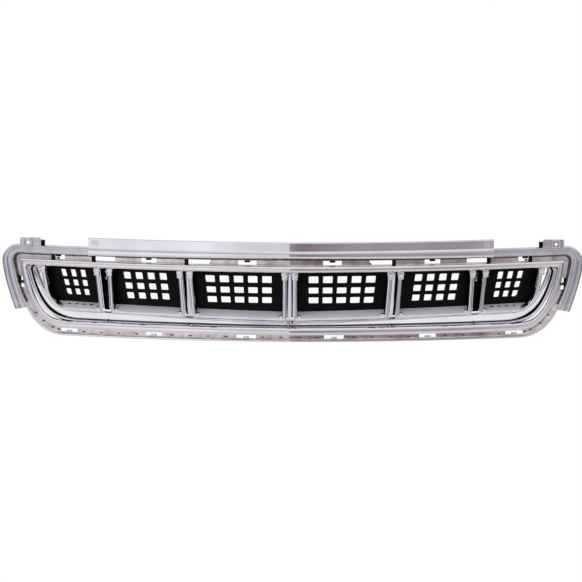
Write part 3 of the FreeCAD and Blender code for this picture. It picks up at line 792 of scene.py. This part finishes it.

# %% [markdown]
# ## The inner frame and its sill
#
# Inside the ring a second chrome moulding carries the cells. Its sill slopes from the ring's lip round the
# end and along the foot: first a dark hollow band, then a fine bead, then a deep narrow gap, then the broad
# pale sill itself. The gap is wide beside the end cells and thins to a line below, so all of it is one
# closed section stretched between three outlines, with the gap's floor painted black as painted shade.
# Behind it are the tunnel that the inserts sit in, the screw flange and the webs between the cells.

# %% Sill
SILL_COUNTS = RING_COUNTS[1:]
sill_edge_a = walk([
    [(-524, 37.3), (-536, 37.3), (-544, 36), (-544, 29)],
    [(-544, 29), (-517.3, -83), (-491, -73.6), (-440, -73.6)],
    [(-440, -73.6), (0, -73.6)],
], SILL_COUNTS)
sill_edge_b = walk([
    [(-510, 38), (-524, 38), (-532, 35), (-532, 26)],
    [(-532, 26), (-519.6, -31), (-491, -69), (-435, -69)],
    [(-435, -69), (0, -70)],
], SILL_COUNTS)
RECESS_TOP = 40.3
recess_end = [(-525, 26), (-509.5, -31), (-484, -55), (-450, -55)]
sill_edge_c = walk([
    [(-504, 38), (-517, 38), (-525, 34), (-525, 26)], recess_end, [(-450, -55), (0, -63.5)],
], SILL_COUNTS)
# (outline pair, share, depth, material of the skin up to the next row) round the sill's section.
SILL_SECTION = [
    (0, 0.0, 5.3, 0), (0, 0.16, 7.0, 0), (0, 0.34, 10.5, 0), (0, 0.45, 12.6, 0), (0, 0.47, 10.4, 0),
    (0, 0.52, 9.6, 0), (0, 0.57, 10.2, 0), (0, 0.60, 12.5, 1), (0, 0.63, 17.6, 1), (0, 0.84, 17.8, 1),
    (0, 0.87, 13.6, 0), (0, 0.96, 11.9, 0), (1, 0.10, 11.6, 0), (1, 0.50, 14.8, 0), (1, 0.90, 18.8, 0),
    (1, 1.0, 20.4, 0), (1, 1.0, 22.8, 0), (1, 0.30, 20.2, 0), (0, 0.66, 20.2, 0), (0, 0.36, 13.0, 0),
    (0, 0.0, 7.8, 0),
]
pairs = ((sill_edge_a, sill_edge_b), (sill_edge_b, sill_edge_c))
sill = loft([row_between(*pairs[pair], share, depth) for pair, share, depth, _ in SILL_SECTION])
columns = len(sill_edge_a) - 1
# Rows with material 1 paint the gap's floor black: painted shade in the deep gap.
for index, face in enumerate(sill.faces):
    face.material_index = SILL_SECTION[index // columns][3]
inner_frame = bmesh.new()
gather(inner_frame, close_ends(both_halves(sill)))

# %% Tunnel, flange, webs and bosses
FRAME_FLANGE, FRAME_FLANGE_BACK, FRAME_BACK = 20.65, 23.15, 45.0
recess_path = walk([
    [(0, RECESS_TOP), (-506, RECESS_TOP)], [(-506, RECESS_TOP), (-517, RECESS_TOP), (-525, 35), (-525, 26)],
    recess_end, [(-450, -55), (0, -63.5)],
], RING_COUNTS)


def face_towards(bm, point):
    """Turns an open skin so that its first face looks towards a point."""
    bmesh.ops.recalc_face_normals(bm, faces=bm.faces[:])
    bm.faces.ensure_lookup_table()
    if bm.faces[0].normal.dot(point - bm.faces[0].calc_center_median()) < 0:
        bmesh.ops.reverse_faces(bm, faces=bm.faces[:])
    return bm


tunnel_rows = [[place(*point, depth) for point in recess_path] for depth in (21.0, 28.0, 36.0, FRAME_BACK)]
tunnel = loft(tunnel_rows, closed=False)
add(inner_frame, thicken(face_towards(both_halves(tunnel), place(0, -10, 30)), 2.0), 0)
flange_rows = [row_between(ring_outer, recess_path, share, FRAME_FLANGE) for share in (0.12, 0.4, 0.7, 1.0)]
flange = loft(flange_rows, closed=False)
add(inner_frame, thicken(face_forward(both_halves(flange)), FRAME_FLANGE_BACK - FRAME_FLANGE), 0)

SILL_CENTRE, SILL_END, SILL_END_X = -60.5, -52.0, 450.0
CELL_TOP = 37.0
CELLS = {
    "outer": {"far": (508.5, 493.0), "near": (402.0, 392.0), "far_round": 46.0},
    "middle": {"far": (366.0, 361.0), "near": (229.0, 221.0), "far_round": 5.0},
    "inner": {"far": (199.0, 191.5), "near": (15.0, 15.0), "far_round": 5.0},
}
RIB_WIDTH = 9.5


def sill_height(x):
    """Height of the bezels' lower edge, which rises towards the ends."""
    return SILL_CENTRE + (SILL_END - SILL_CENTRE) * min(abs(x) / SILL_END_X, 1.0)


def slanted_web(top_xs, bottom_xs, z_ends, top_depth, bottom_depth, thickness):
    """A web in the gap between two cells; leaning back at its top, it catches the light from above."""
    rows = []
    for (x1, x2), z, depth in ((bottom_xs, z_ends[0], bottom_depth), (top_xs, z_ends[1], top_depth)):
        rows.append([place(x1, z, depth), place((x1 + x2) / 2, z, depth - 0.8), place(x2, z, depth)])
    return thicken(face_forward(loft(rows, closed=False)), thickness)


# Bright webs in the left half as (top x range, bottom x range, heights), then black webs as painted shade.
BRIGHT_WEBS = (
    ((-381.0, -376.5), (-380.0, -376.5), (12.0, 39.0)),
    ((-216.5, -208.0), (-207.5, -200.5), (-58.0, 39.0)),
)
PAINTED_SHADE_WEBS = (
    ((-394.0, -374.5), (-384.0, -369.5), (-54.0, 39.0)),
    ((-221.0, -207.0), (-213.0, -200.0), (-57.5, 39.0)),
)
for bands, material, depths in ((BRIGHT_WEBS, 0, (43.0, 25.5)), (PAINTED_SHADE_WEBS, 1, (44.0, 44.0))):
    for top_xs, bottom_xs, z_ends in bands:
        web = slanted_web(top_xs, bottom_xs, z_ends, *depths, 1.0)
        add(inner_frame, mirrored_copy(web), material)
        add(inner_frame, web, material)
add(inner_frame, slanted_web((-5.5, 3.0), (-5.5, 3.0), (-60.0, 39.0), 43.0, 25.5, 1.0), 0)
# A black web at the centre crease, also painted shade in the gap between the middle cells.
add(inner_frame, slanted_web((-7.0, 7.0), (-7.0, 7.0), (-60.0, 39.0), 44.2, 44.2, 0.8), 1)
# Small dark balls on the sill below the gaps between cells, in the dark chrome: painted shade.
for x in (0, 206, 374):
    for side in (-1, 1) if x else (1,):
        add(inner_frame, ball(side * x, -70.8, 9.2, (2.0, 1.0, 1.6)), 2)

BOSS_OFFSET = 5.7
BELOW_SILL = 2.7


def ear_columns(cell):
    """Where a left-half cell's two pairs of screws stand across."""
    return [-(cell["near"][0] + (cell["far"][0] - cell["near"][0]) * share) for share in (0.22, 0.78)]


def lower_ear(x):
    return sill_height(x) - BELOW_SILL - BOSS_OFFSET


INSERT_SCREWS = []
for cell in CELLS.values():
    for x in ear_columns(cell):
        INSERT_SCREWS += [(x, RECESS_TOP + BOSS_OFFSET), (x, lower_ear(x))]
for x, z in INSERT_SCREWS:
    for side in (-1, 1):
        add(inner_frame, post(side * x, z, FRAME_FLANGE_BACK - 1, FRAME_BACK, 4.5), 0)
finish_piece("inner_frame_looks", inner_frame, [bright_chrome, black_mesh, shadow_chrome])

# %% [markdown]
# ## Cell bezels
#
# Each cell has its own chrome bezel: a rib down each side, rounded off into a ledge that climbs back to the
# mesh, with a small square knob at the top of each rib. A rib shows a bright bead and a lower shoulder,
# which gives it its double line. The ribs are one closed section carried round the cell, wide at the sides
# and thin below. The end cells have a large round corner, larger here than in the CAD model, and four drain
# slots in the ledge, shown as black ovals. The knobs and the drain slots are on this model only.

# %% Bezels
BEZEL_COUNTS = (14, 12, 18, 6, 14)
NEAR_ROUND = 3.0
BEZEL_SECTION = [
    (0.0, 25.0), (0.0, 20.6), (0.05, 19.0), (0.14, 17.9), (0.28, 17.3), (0.46, 17.0), (0.60, 17.4),
    (0.68, 18.7),
    (0.74, 19.1), (0.90, 19.2), (1.0, 20.8), (1.0, 25.0),
]


def cell_edge(cell, grow, rise):
    """A left-half cell's outline, down its far side, along its foot and up its near side."""
    far_top, far_bottom = cell["far"]
    near_top, near_bottom = cell["near"]
    top = CELL_TOP + 1.5
    corners = [
        Vector((-far_top - grow, top)), Vector((-far_bottom - grow, sill_height(far_bottom) + rise)),
        Vector((-near_bottom + grow, sill_height(near_bottom) + rise)), Vector((-near_top + grow, top)),
    ]
    legs, start = [], corners[0]
    radii = (cell["far_round"] + grow, NEAR_ROUND + grow)
    for before, corner, after, radius in zip(corners, corners[1:], corners[2:], radii):
        first = corner + (before - corner).normalized() * radius * 0.85
        last = corner + (after - corner).normalized() * radius * 0.85
        legs += [[start, first], [first, first.lerp(corner, 0.6), last.lerp(corner, 0.6), last]]
        start = last
    return walk(legs + [[start, corners[3]]], BEZEL_COUNTS)


# (rise above the sill, depth) round the ledge's section.
LEDGE_SECTION = (
    (-2.2, 19.0), (-0.4, 17.6), (0.8, 17.5), (1.8, 18.6), (12.6, 41.3), (10.0, 41.4), (-2.2, 21.5),
)


def ledge(cell):
    """The sloping ledge between the ribs."""
    far, near = -cell["far"][1], -cell["near"][1]
    start = far + cell["far_round"] * 0.25
    xs = [start + (near - start) * step / 20 for step in range(21)]
    rows = [[place(x, sill_height(x) + rise, depth) for x in xs] for rise, depth in LEDGE_SECTION]
    return close_ends(loft(rows))


def bezel(cell):
    bm = bmesh.new()
    inner, outer = cell_edge(cell, 0.0, 0.0), cell_edge(cell, RIB_WIDTH, -BELOW_SILL)
    add(bm, close_ends(loft([row_between(inner, outer, share, depth) for share, depth in BEZEL_SECTION])))
    add(bm, ledge(cell), 2)
    for x, out in ((-cell["far"][0] - 4.6, -1), (-cell["near"][0] + 4.6, 1)):
        add(bm, box((x - 6.6, x + 6.6), (27.0, 36.8), 15.2, 24.0, 1.6))
        add(bm, box((x - 6.0, x + 6.0), (19.5, 27.4), 16.0, 23.0, 2.2))
    feet = [-cell["near"][1] - 3.5]
    if cell["far_round"] < 20:
        feet.append(-cell["far"][1] + 4.5)
    for x in feet:
        add(bm, ball(x, sill_height(x) + 4.6, 26.0, (4.2, 8.0, 3.4)))
    if cell["far_round"] > 20:
        # The drain slots are black ovals: painted shade for the dark inside of each slot.
        for step in range(4):
            add(bm, ball(-457 + step * 15.5, sill_height(450) + 8.6, 34.0, (4.0, 2.6, 1.1)), 1)
    return bm


def finish_both(name, number, left, materials):
    """The piece of a left-half cell and its mirror image, numbered from left to right."""
    right = mirrored_copy(left)
    for place_number, half in ((number, left), (len(CELLS) * 2 + 1 - number, right)):
        finish_piece(f"{name}_{place_number}_looks", half, materials)


for number, cell in enumerate(CELLS.values(), start=1):
    finish_both("cell_bezel", number, bezel(cell), [bright_chrome, black_mesh, ledge_chrome])

# %% [markdown]
# ## Mesh inserts
#
# The black inserts are moulded plastic: a 6 mm plate with rows of rounded windows, and walls that come
# forward to the bezel. The windows lean with the cell's sides. The grid's lines are laid on the windows'
# edges, the window faces are deleted, and the vertex bevel rounds their corners before the plate gets its
# thickness. Two screw ears stand above and two below.

# %% Inserts
MESH_FRONT, MESH_BACK = 42.0, 48.0
MESH = {
    "outer": {"columns": 3, "first": (465.0, 0.27), "last": (425.5, 0.19), "wide": 11.8,
              "rows": ((11.5, 26.6), (-7.1, 5.5), (-25.7, -13.1))},
    "middle": {"columns": 4, "first": (332.7, 0.165), "last": (258.4, 0.13), "wide": 15.6,
               "rows": ((12.0, 26.2), (-8.6, 4.2), (-28.4, -15.6))},
    "inner": {"columns": 5, "first": (162.0, 0.10), "last": (47.5, 0.0), "wide": 19.6,
              "rows": ((10.2, 24.4), (-11.0, 1.4), (-31.0, -18.6))},
}
WINDOW_ROUND, END_WINDOW_ROUND = 1.7, 5.0
PLATE_FOOT = -45.0      # the lowest row of the plate takes its columns' lean from this height
WALL_FRONT = 25.3


def insert_plate(cell, mesh):
    """The slotted plate of a left-half cell, as a skin."""
    top = CELL_TOP + 3.0
    heights = [None]
    for low_edge, high_edge in reversed(mesh["rows"]):
        heights += [low_edge, high_edge]
    heights.append(top)
    (first, first_lean), (last, last_lean) = mesh["first"], mesh["last"]
    shares = [column / (mesh["columns"] - 1) for column in range(mesh["columns"])]
    rows = []
    for height in heights:
        def low(x):
            return sill_height(x) + 5.0 if height is None else height
        share = 0.0 if height is None else (height - PLATE_FOOT) / (top - PLATE_FOOT)
        far = -(cell["far"][1] + 2 + (cell["far"][0] - cell["far"][1]) * share)
        near = -(cell["near"][1] - 2 + (cell["near"][0] - cell["near"][1]) * share)
        xs = [far]
        for share in shares:
            slope = first_lean + (last_lean - first_lean) * share
            lean = slope * (PLATE_FOOT if height is None else height)
            middle = -(first + (last - first) * share) - lean
            xs += [middle - mesh["wide"] / 2, middle + mesh["wide"] / 2]
        xs.append(near)
        rows.append([place(x, low(x), MESH_FRONT) for x in xs])
    bm = loft(rows, closed=False)
    across = len(rows[0]) - 1
    bm.faces.ensure_lookup_table()
    windows = [bm.faces[row * across + column] for row in (1, 3, 5) for column in range(1, across, 2)]
    corners = {vert for face in windows for vert in face.verts}
    bmesh.ops.delete(bm, geom=windows, context="FACES")
    if cell["far_round"] > 20:
        worst = min(corners, key=lambda vert: vert.co.x + vert.co.z)
        corners.discard(worst)
        bevel(bm, [worst], END_WINDOW_ROUND, 4, affect="VERTICES")
    bevel(bm, [vert for vert in corners if vert.is_valid], WINDOW_ROUND, 3, affect="VERTICES")
    if cell["far_round"] > 20:
        edge = cell_edge(cell, 2.0, 5.0)
        for start, end in zip(edge[BEZEL_COUNTS[0]:], edge[BEZEL_COUNTS[0] + 1:sum(BEZEL_COUNTS[:2]) + 1]):
            along = end - start
            bmesh.ops.bisect_plane(bm, geom=everything(bm), plane_co=place(start.x, start.y, MESH_FRONT),
                                   plane_no=(along.y, 0, -along.x), clear_outer=True, dist=WELD)
    return bm


def insert_walls(cell):
    """The walls that come forward from the plate's edge to the bezel's ribs."""
    edge = cell_edge(cell, 1.9, 5.0)
    rows = [[place(*point, depth) for point in edge] for depth in (WALL_FRONT, 30.0, 36.0, MESH_FRONT + 0.5)]
    skin = loft(rows, closed=False)
    below = [face for face in skin.faces
             if abs(face.normal.z) > 0.95 and face.calc_center_median().z / MM + TAB_HOLE_Z < 0]
    bmesh.ops.delete(skin, geom=below, context="FACES")
    middle = place(-(cell["far"][0] + cell["near"][0]) / 2, 0, 34)
    return thicken(face_towards(skin, middle), 1.6)


def insert(cell, mesh):
    bm = bmesh.new()
    add(bm, thicken(face_forward(insert_plate(cell, mesh)), MESH_BACK - MESH_FRONT))
    add(bm, insert_walls(cell))
    upper = RECESS_TOP + BOSS_OFFSET
    for x in ear_columns(cell):
        lower = lower_ear(x)
        for z, z_ends in ((upper, (CELL_TOP, upper + 4.5)), (lower, (lower - 4.5, SILL_END + 10))):
            y = place(x, z, 45.15).y / MM
            add(bm, plate_with_hole((x, z - TAB_HOLE_Z), 2.2, (x - 6, x + 6),
                                    [value - TAB_HOLE_Z for value in z_ends], y, y + 2.85, 24))
    return bm


for number, (name, cell) in enumerate(CELLS.items(), start=1):
    finish_both("mesh_insert", number, insert(cell, MESH[name]), [black_mesh])

# %% [markdown]
# ## Clips, tongues and hooks
#
# Small black blocks and chromed tongues sit in the groove's slots and hold the bumper cover. Their CAD
# shapes are right already, but their edges are knife sharp. So each is copied, its loose triangles are
# welded, flat triangles are dissolved into whole faces, and the edges get the small radius that any
# moulding has.

# %% Soften the CAD clips
def softened(node, radius, materials):
    """A copy of a CAD node with welded faces and rounded edges."""
    bm = bmesh.new()
    bm.from_mesh(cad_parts[node].data)
    bmesh.ops.remove_doubles(bm, verts=bm.verts[:], dist=WELD)
    bmesh.ops.dissolve_limit(bm, angle_limit=math.radians(3), verts=bm.verts[:], edges=bm.edges[:])
    round_edges(bm, radius, where=lambda edge: edge.calc_length() > 1.2 * MM)
    finish_piece(node + "_looks", bm, materials, replaced=node)


for node, radius in (("slot_retainers", 0.5), ("snap_tongues", 0.5), ("side_hooks", 0.4),
                     ("tab_clip_left", 0.5), ("tab_clip_right", 0.5)):
    softened(node, radius, [black_clip])
softened("lower_tongues", 0.5, [satin_chrome])

# %% [markdown]
# ## Screws
#
# Self-tapping pan-head screws hold the mouldings together from behind: eight for the header, six for the
# wings, ten for the inner frame and twenty-four for the inserts. Each is a short cylinder with a rounded
# rim, a lobed socket made by insetting the head's face and pinching every second corner, and a shank. They
# are far from the viewer, so a few dozen faces each are enough.

# %% Screws
HEAD_RADIUS, HEAD_HEIGHT, SEAT_GAP = 3.5, 2.5, 0.15


def screw(x, z, seat, tip):
    """A pan-head screw driven forwards: its head sits on seat and its shank ends at tip."""
    bm = bmesh.new()
    bmesh.ops.create_cone(bm, cap_ends=True, segments=16, radius1=HEAD_RADIUS * MM, radius2=HEAD_RADIUS * MM,
                          depth=HEAD_HEIGHT * MM)
    top = max(bm.faces, key=lambda face: face.calc_center_median().z)
    bevel(bm, list(top.edges), 0.9, 2)
    top = max(bm.faces, key=lambda face: face.calc_center_median().z)
    bmesh.ops.inset_region(bm, faces=[top], thickness=0.9 * MM)
    centre = top.calc_center_median()
    for index, vert in enumerate(top.verts):
        if index % 4 < 2:
            vert.co = centre + (vert.co - centre) * 0.72
    bmesh.ops.inset_region(bm, faces=[top], thickness=0.1 * MM, depth=-1.1 * MM)
    shank = bmesh.ops.create_cone(bm, cap_ends=True, segments=12, radius1=1.2 * MM, radius2=1.75 * MM,
                                  depth=(seat - tip) * MM)["verts"]
    bmesh.ops.translate(bm, vec=(0, 0, -(HEAD_HEIGHT + seat - tip) / 2 * MM), verts=shank)
    bmesh.ops.rotate(bm, matrix=Matrix.Rotation(math.radians(-90), 3, "X"), verts=bm.verts[:])
    bmesh.ops.translate(bm, vec=place(x, z, seat + SEAT_GAP + HEAD_HEIGHT / 2), verts=bm.verts[:])
    return bm


FRAME_SCREWS = ((40, -82.5), (145, -82.5), (250, -82.5), (355, -82.5), (450, -82.5))
for name, places, seat, tip in (
        ("header_screws", HEADER_SCREWS, FRAME_FLANGE_BACK, 7.5),
        ("wing_screws", WING_SCREWS, FLOOR_BACK, 11.0),
        ("frame_screws", FRAME_SCREWS, FRAME_FLANGE_BACK, 4.0),
        ("insert_screws", INSERT_SCREWS, MESH_BACK, 27.5)):
    screws = bmesh.new()
    for x, z in places:
        for side in (-1, 1):
            add(screws, screw(side * x, z, seat, tip))
    finish_piece(name + "_looks", screws, [zinc_steel])

# %% [markdown]
# ## Studio
#
# Chrome shows what is around it, so the studio matters as much as the metal. The room is pale, with one
# bright band well above the camera. In front, at the height that upright faces mirror, it is bright to the
# left and a dim mauve to the right of the camera, which gives the two halves their different tones. It is
# built from the direction alone: height decides between floor, front band and ceiling, the sideways
# direction shades the band, and the back of the room is a little dimmer. The tones are listed. The
# camera itself sees plain white.

# %% World
def ramp(tree, value, stops):
    """A colour ramp from (position, colour) stops."""
    node = tree.nodes.new("ShaderNodeValToRGB")
    elements = node.color_ramp.elements
    elements[0].position, elements[0].color = stops[0][0], (*stops[0][1], 1)
    elements[1].position, elements[1].color = stops[-1][0], (*stops[-1][1], 1)
    for position, colour in stops[1:-1]:
        elements.new(position).color = (*colour, 1)
    tree.links.new(value, node.inputs[0])
    return node.outputs["Color"]


world = bpy.data.worlds.new("studio")
bpy.context.scene.world = world
world.use_nodes = True
room = world.node_tree
direction = room.nodes.new("ShaderNodeTexCoord")
split = room.nodes.new("ShaderNodeSeparateXYZ")
room.links.new(direction.outputs["Generated"], split.inputs[0])
sideways = spread(room, split.outputs["X"], -1.0, 1.0, 0.0, 1.0)
upwards = spread(room, split.outputs["Z"], -1.0, 1.0, 0.0, 1.0)
front = ramp(room, sideways, [
    (0.0, (0.20, 0.21, 0.26)), (0.07, (0.30, 0.31, 0.37)), (0.13, (0.60, 0.61, 0.66)),
    (0.20, (0.80, 0.79, 0.84)), (0.34, (0.90, 0.87, 0.96)), (0.38, (0.75, 0.72, 0.76)),
    (0.495, (0.62, 0.585, 0.61)), (0.53, (0.21, 0.165, 0.195)), (0.60, (0.36, 0.31, 0.345)),
    (0.74, (0.33, 0.28, 0.32)), (0.82, (0.56, 0.54, 0.59)), (0.87, (0.50, 0.51, 0.56)),
    (0.93, (0.22, 0.23, 0.28)), (1.0, (0.14, 0.15, 0.20))])
height = ramp(room, upwards, [
    (0.0, (0.50, 0.48, 0.45)), (0.22, (0.62, 0.59, 0.57)), (0.34, (0.70, 0.68, 0.68)),
    (0.44, (0.58, 0.57, 0.60)), (0.52, (0.40, 0.39, 0.43)), (0.58, (0.66, 0.65, 0.69)),
    (0.70, (0.84, 0.84, 0.85)), (0.74, (1, 1, 1)), (0.78, (0.86, 0.87, 0.86)), (1.0, (0.86, 0.87, 0.84))])
BLACK, WHITE = (0, 0, 0), (1, 1, 1)
band = ramp(room, upwards, [
    (0.0, BLACK), (0.32, BLACK), (0.37, WHITE), (0.47, WHITE), (0.52, BLACK), (1.0, BLACK)])
behind = ramp(room, spread(room, split.outputs["Y"], -1.0, 1.0, 0.0, 1.0), [
    (0.0, (1, 1, 1)), (0.60, (1, 1, 1)), (0.85, (0.80, 0.78, 0.83)), (1.0, (0.76, 0.74, 0.79))])
dimmed = mixed(room, 1.0, height, behind, "MULTIPLY")
backdrop = room.nodes["Background"]
room.links.new(mixed(room, band, dimmed, front), backdrop.inputs["Color"])
backdrop.inputs["Strength"].default_value = 1.0
white = room.nodes.new("ShaderNodeBackground")
white.inputs["Color"].default_value = (*WHITE, 1)


def camera_sees(tree, shown, lit, output):
    """Gives the camera one shader and every other ray the other."""
    rays = tree.nodes.new("ShaderNodeLightPath")
    choose = tree.nodes.new("ShaderNodeMixShader")
    tree.links.new(rays.outputs["Is Camera Ray"], choose.inputs[0])
    tree.links.new(lit.outputs[0], choose.inputs[1])
    tree.links.new(shown.outputs[0], choose.inputs[2])
    tree.links.new(choose.outputs[0], tree.nodes[output].inputs["Surface"])


camera_sees(room, white, backdrop, "World Output")

# %% [markdown]
# ## Floor, lamps and camera
#
# The floor is a plain pale sheet just under the grille. It glows white to the camera and is hidden from
# reflections, and so are the two large soft lamps above and to the left, which only light the surfaces that
# aren't mirrors. The camera stands five metres off with a long lens, 8.6 degrees above the grille and a
# little to the right of the crease.

# %% Floor, lamps and camera
FLOOR_GAP = 0.004       # metres below the grille's lowest point
floor_level = cad_box[0].z - FLOOR_GAP
bm = bmesh.new()
bmesh.ops.create_grid(bm, x_segments=1, y_segments=1, size=12.0)
bmesh.ops.translate(bm, vec=(0, 0, floor_level), verts=bm.verts[:])
mesh = bpy.data.meshes.new("floor")
bm.to_mesh(mesh)
bm.free()
floor = put_in_scene("floor", mesh)
floor_paint = bpy.data.materials.new("floor_paint")
floor_paint.use_nodes = True
paint = floor_paint.node_tree
pale = paint.nodes["Principled BSDF"]
pale.inputs["Base Color"].default_value = (0.86, 0.85, 0.83, 1)
pale.inputs["Roughness"].default_value = 0.9
camera_sees(paint, paint.nodes.new("ShaderNodeEmission"), pale, "Material Output")
mesh.materials.append(floor_paint)
floor.visible_glossy = False


def soft_lamp(name, place_at, aim, size, power):
    lamp = bpy.data.lights.new(name, "AREA")
    lamp.shape = "RECTANGLE"
    lamp.size, lamp.size_y = size
    lamp.energy = power
    item = put_in_scene(name, lamp)
    item.location = place_at
    item.rotation_euler = (Vector(aim) - Vector(place_at)).to_track_quat("-Z", "Y").to_euler()
    item.visible_glossy = False


soft_lamp("ceiling_lamp", (0.0, -0.6, 2.4), (0, 0, -0.1), (3.0, 1.6), 30)
soft_lamp("left_lamp", (-2.6, -1.6, 0.9), (0, 0, -0.1), (1.2, 1.2), 12)

CAMERA_AZIMUTH, CAMERA_ELEVATION, CAMERA_DISTANCE = math.radians(1.8), math.radians(8.6), 5.0
target = Vector((0.003, -TAB_FACE_Y * MM, 0.0012 - TAB_HOLE_Z * MM))
back = Vector((math.sin(CAMERA_AZIMUTH) * math.cos(CAMERA_ELEVATION),
               -math.cos(CAMERA_AZIMUTH) * math.cos(CAMERA_ELEVATION), math.sin(CAMERA_ELEVATION)))
camera = put_in_scene("camera", bpy.data.cameras.new("camera"))
camera.data.sensor_width = 36.0
camera.data.lens = 153.8
camera.location = target + back * CAMERA_DISTANCE
camera.rotation_euler = (-back).to_track_quat("-Z", "Y").to_euler()
bpy.context.scene.camera = camera
bpy.context.scene.view_settings.view_transform = "Standard"
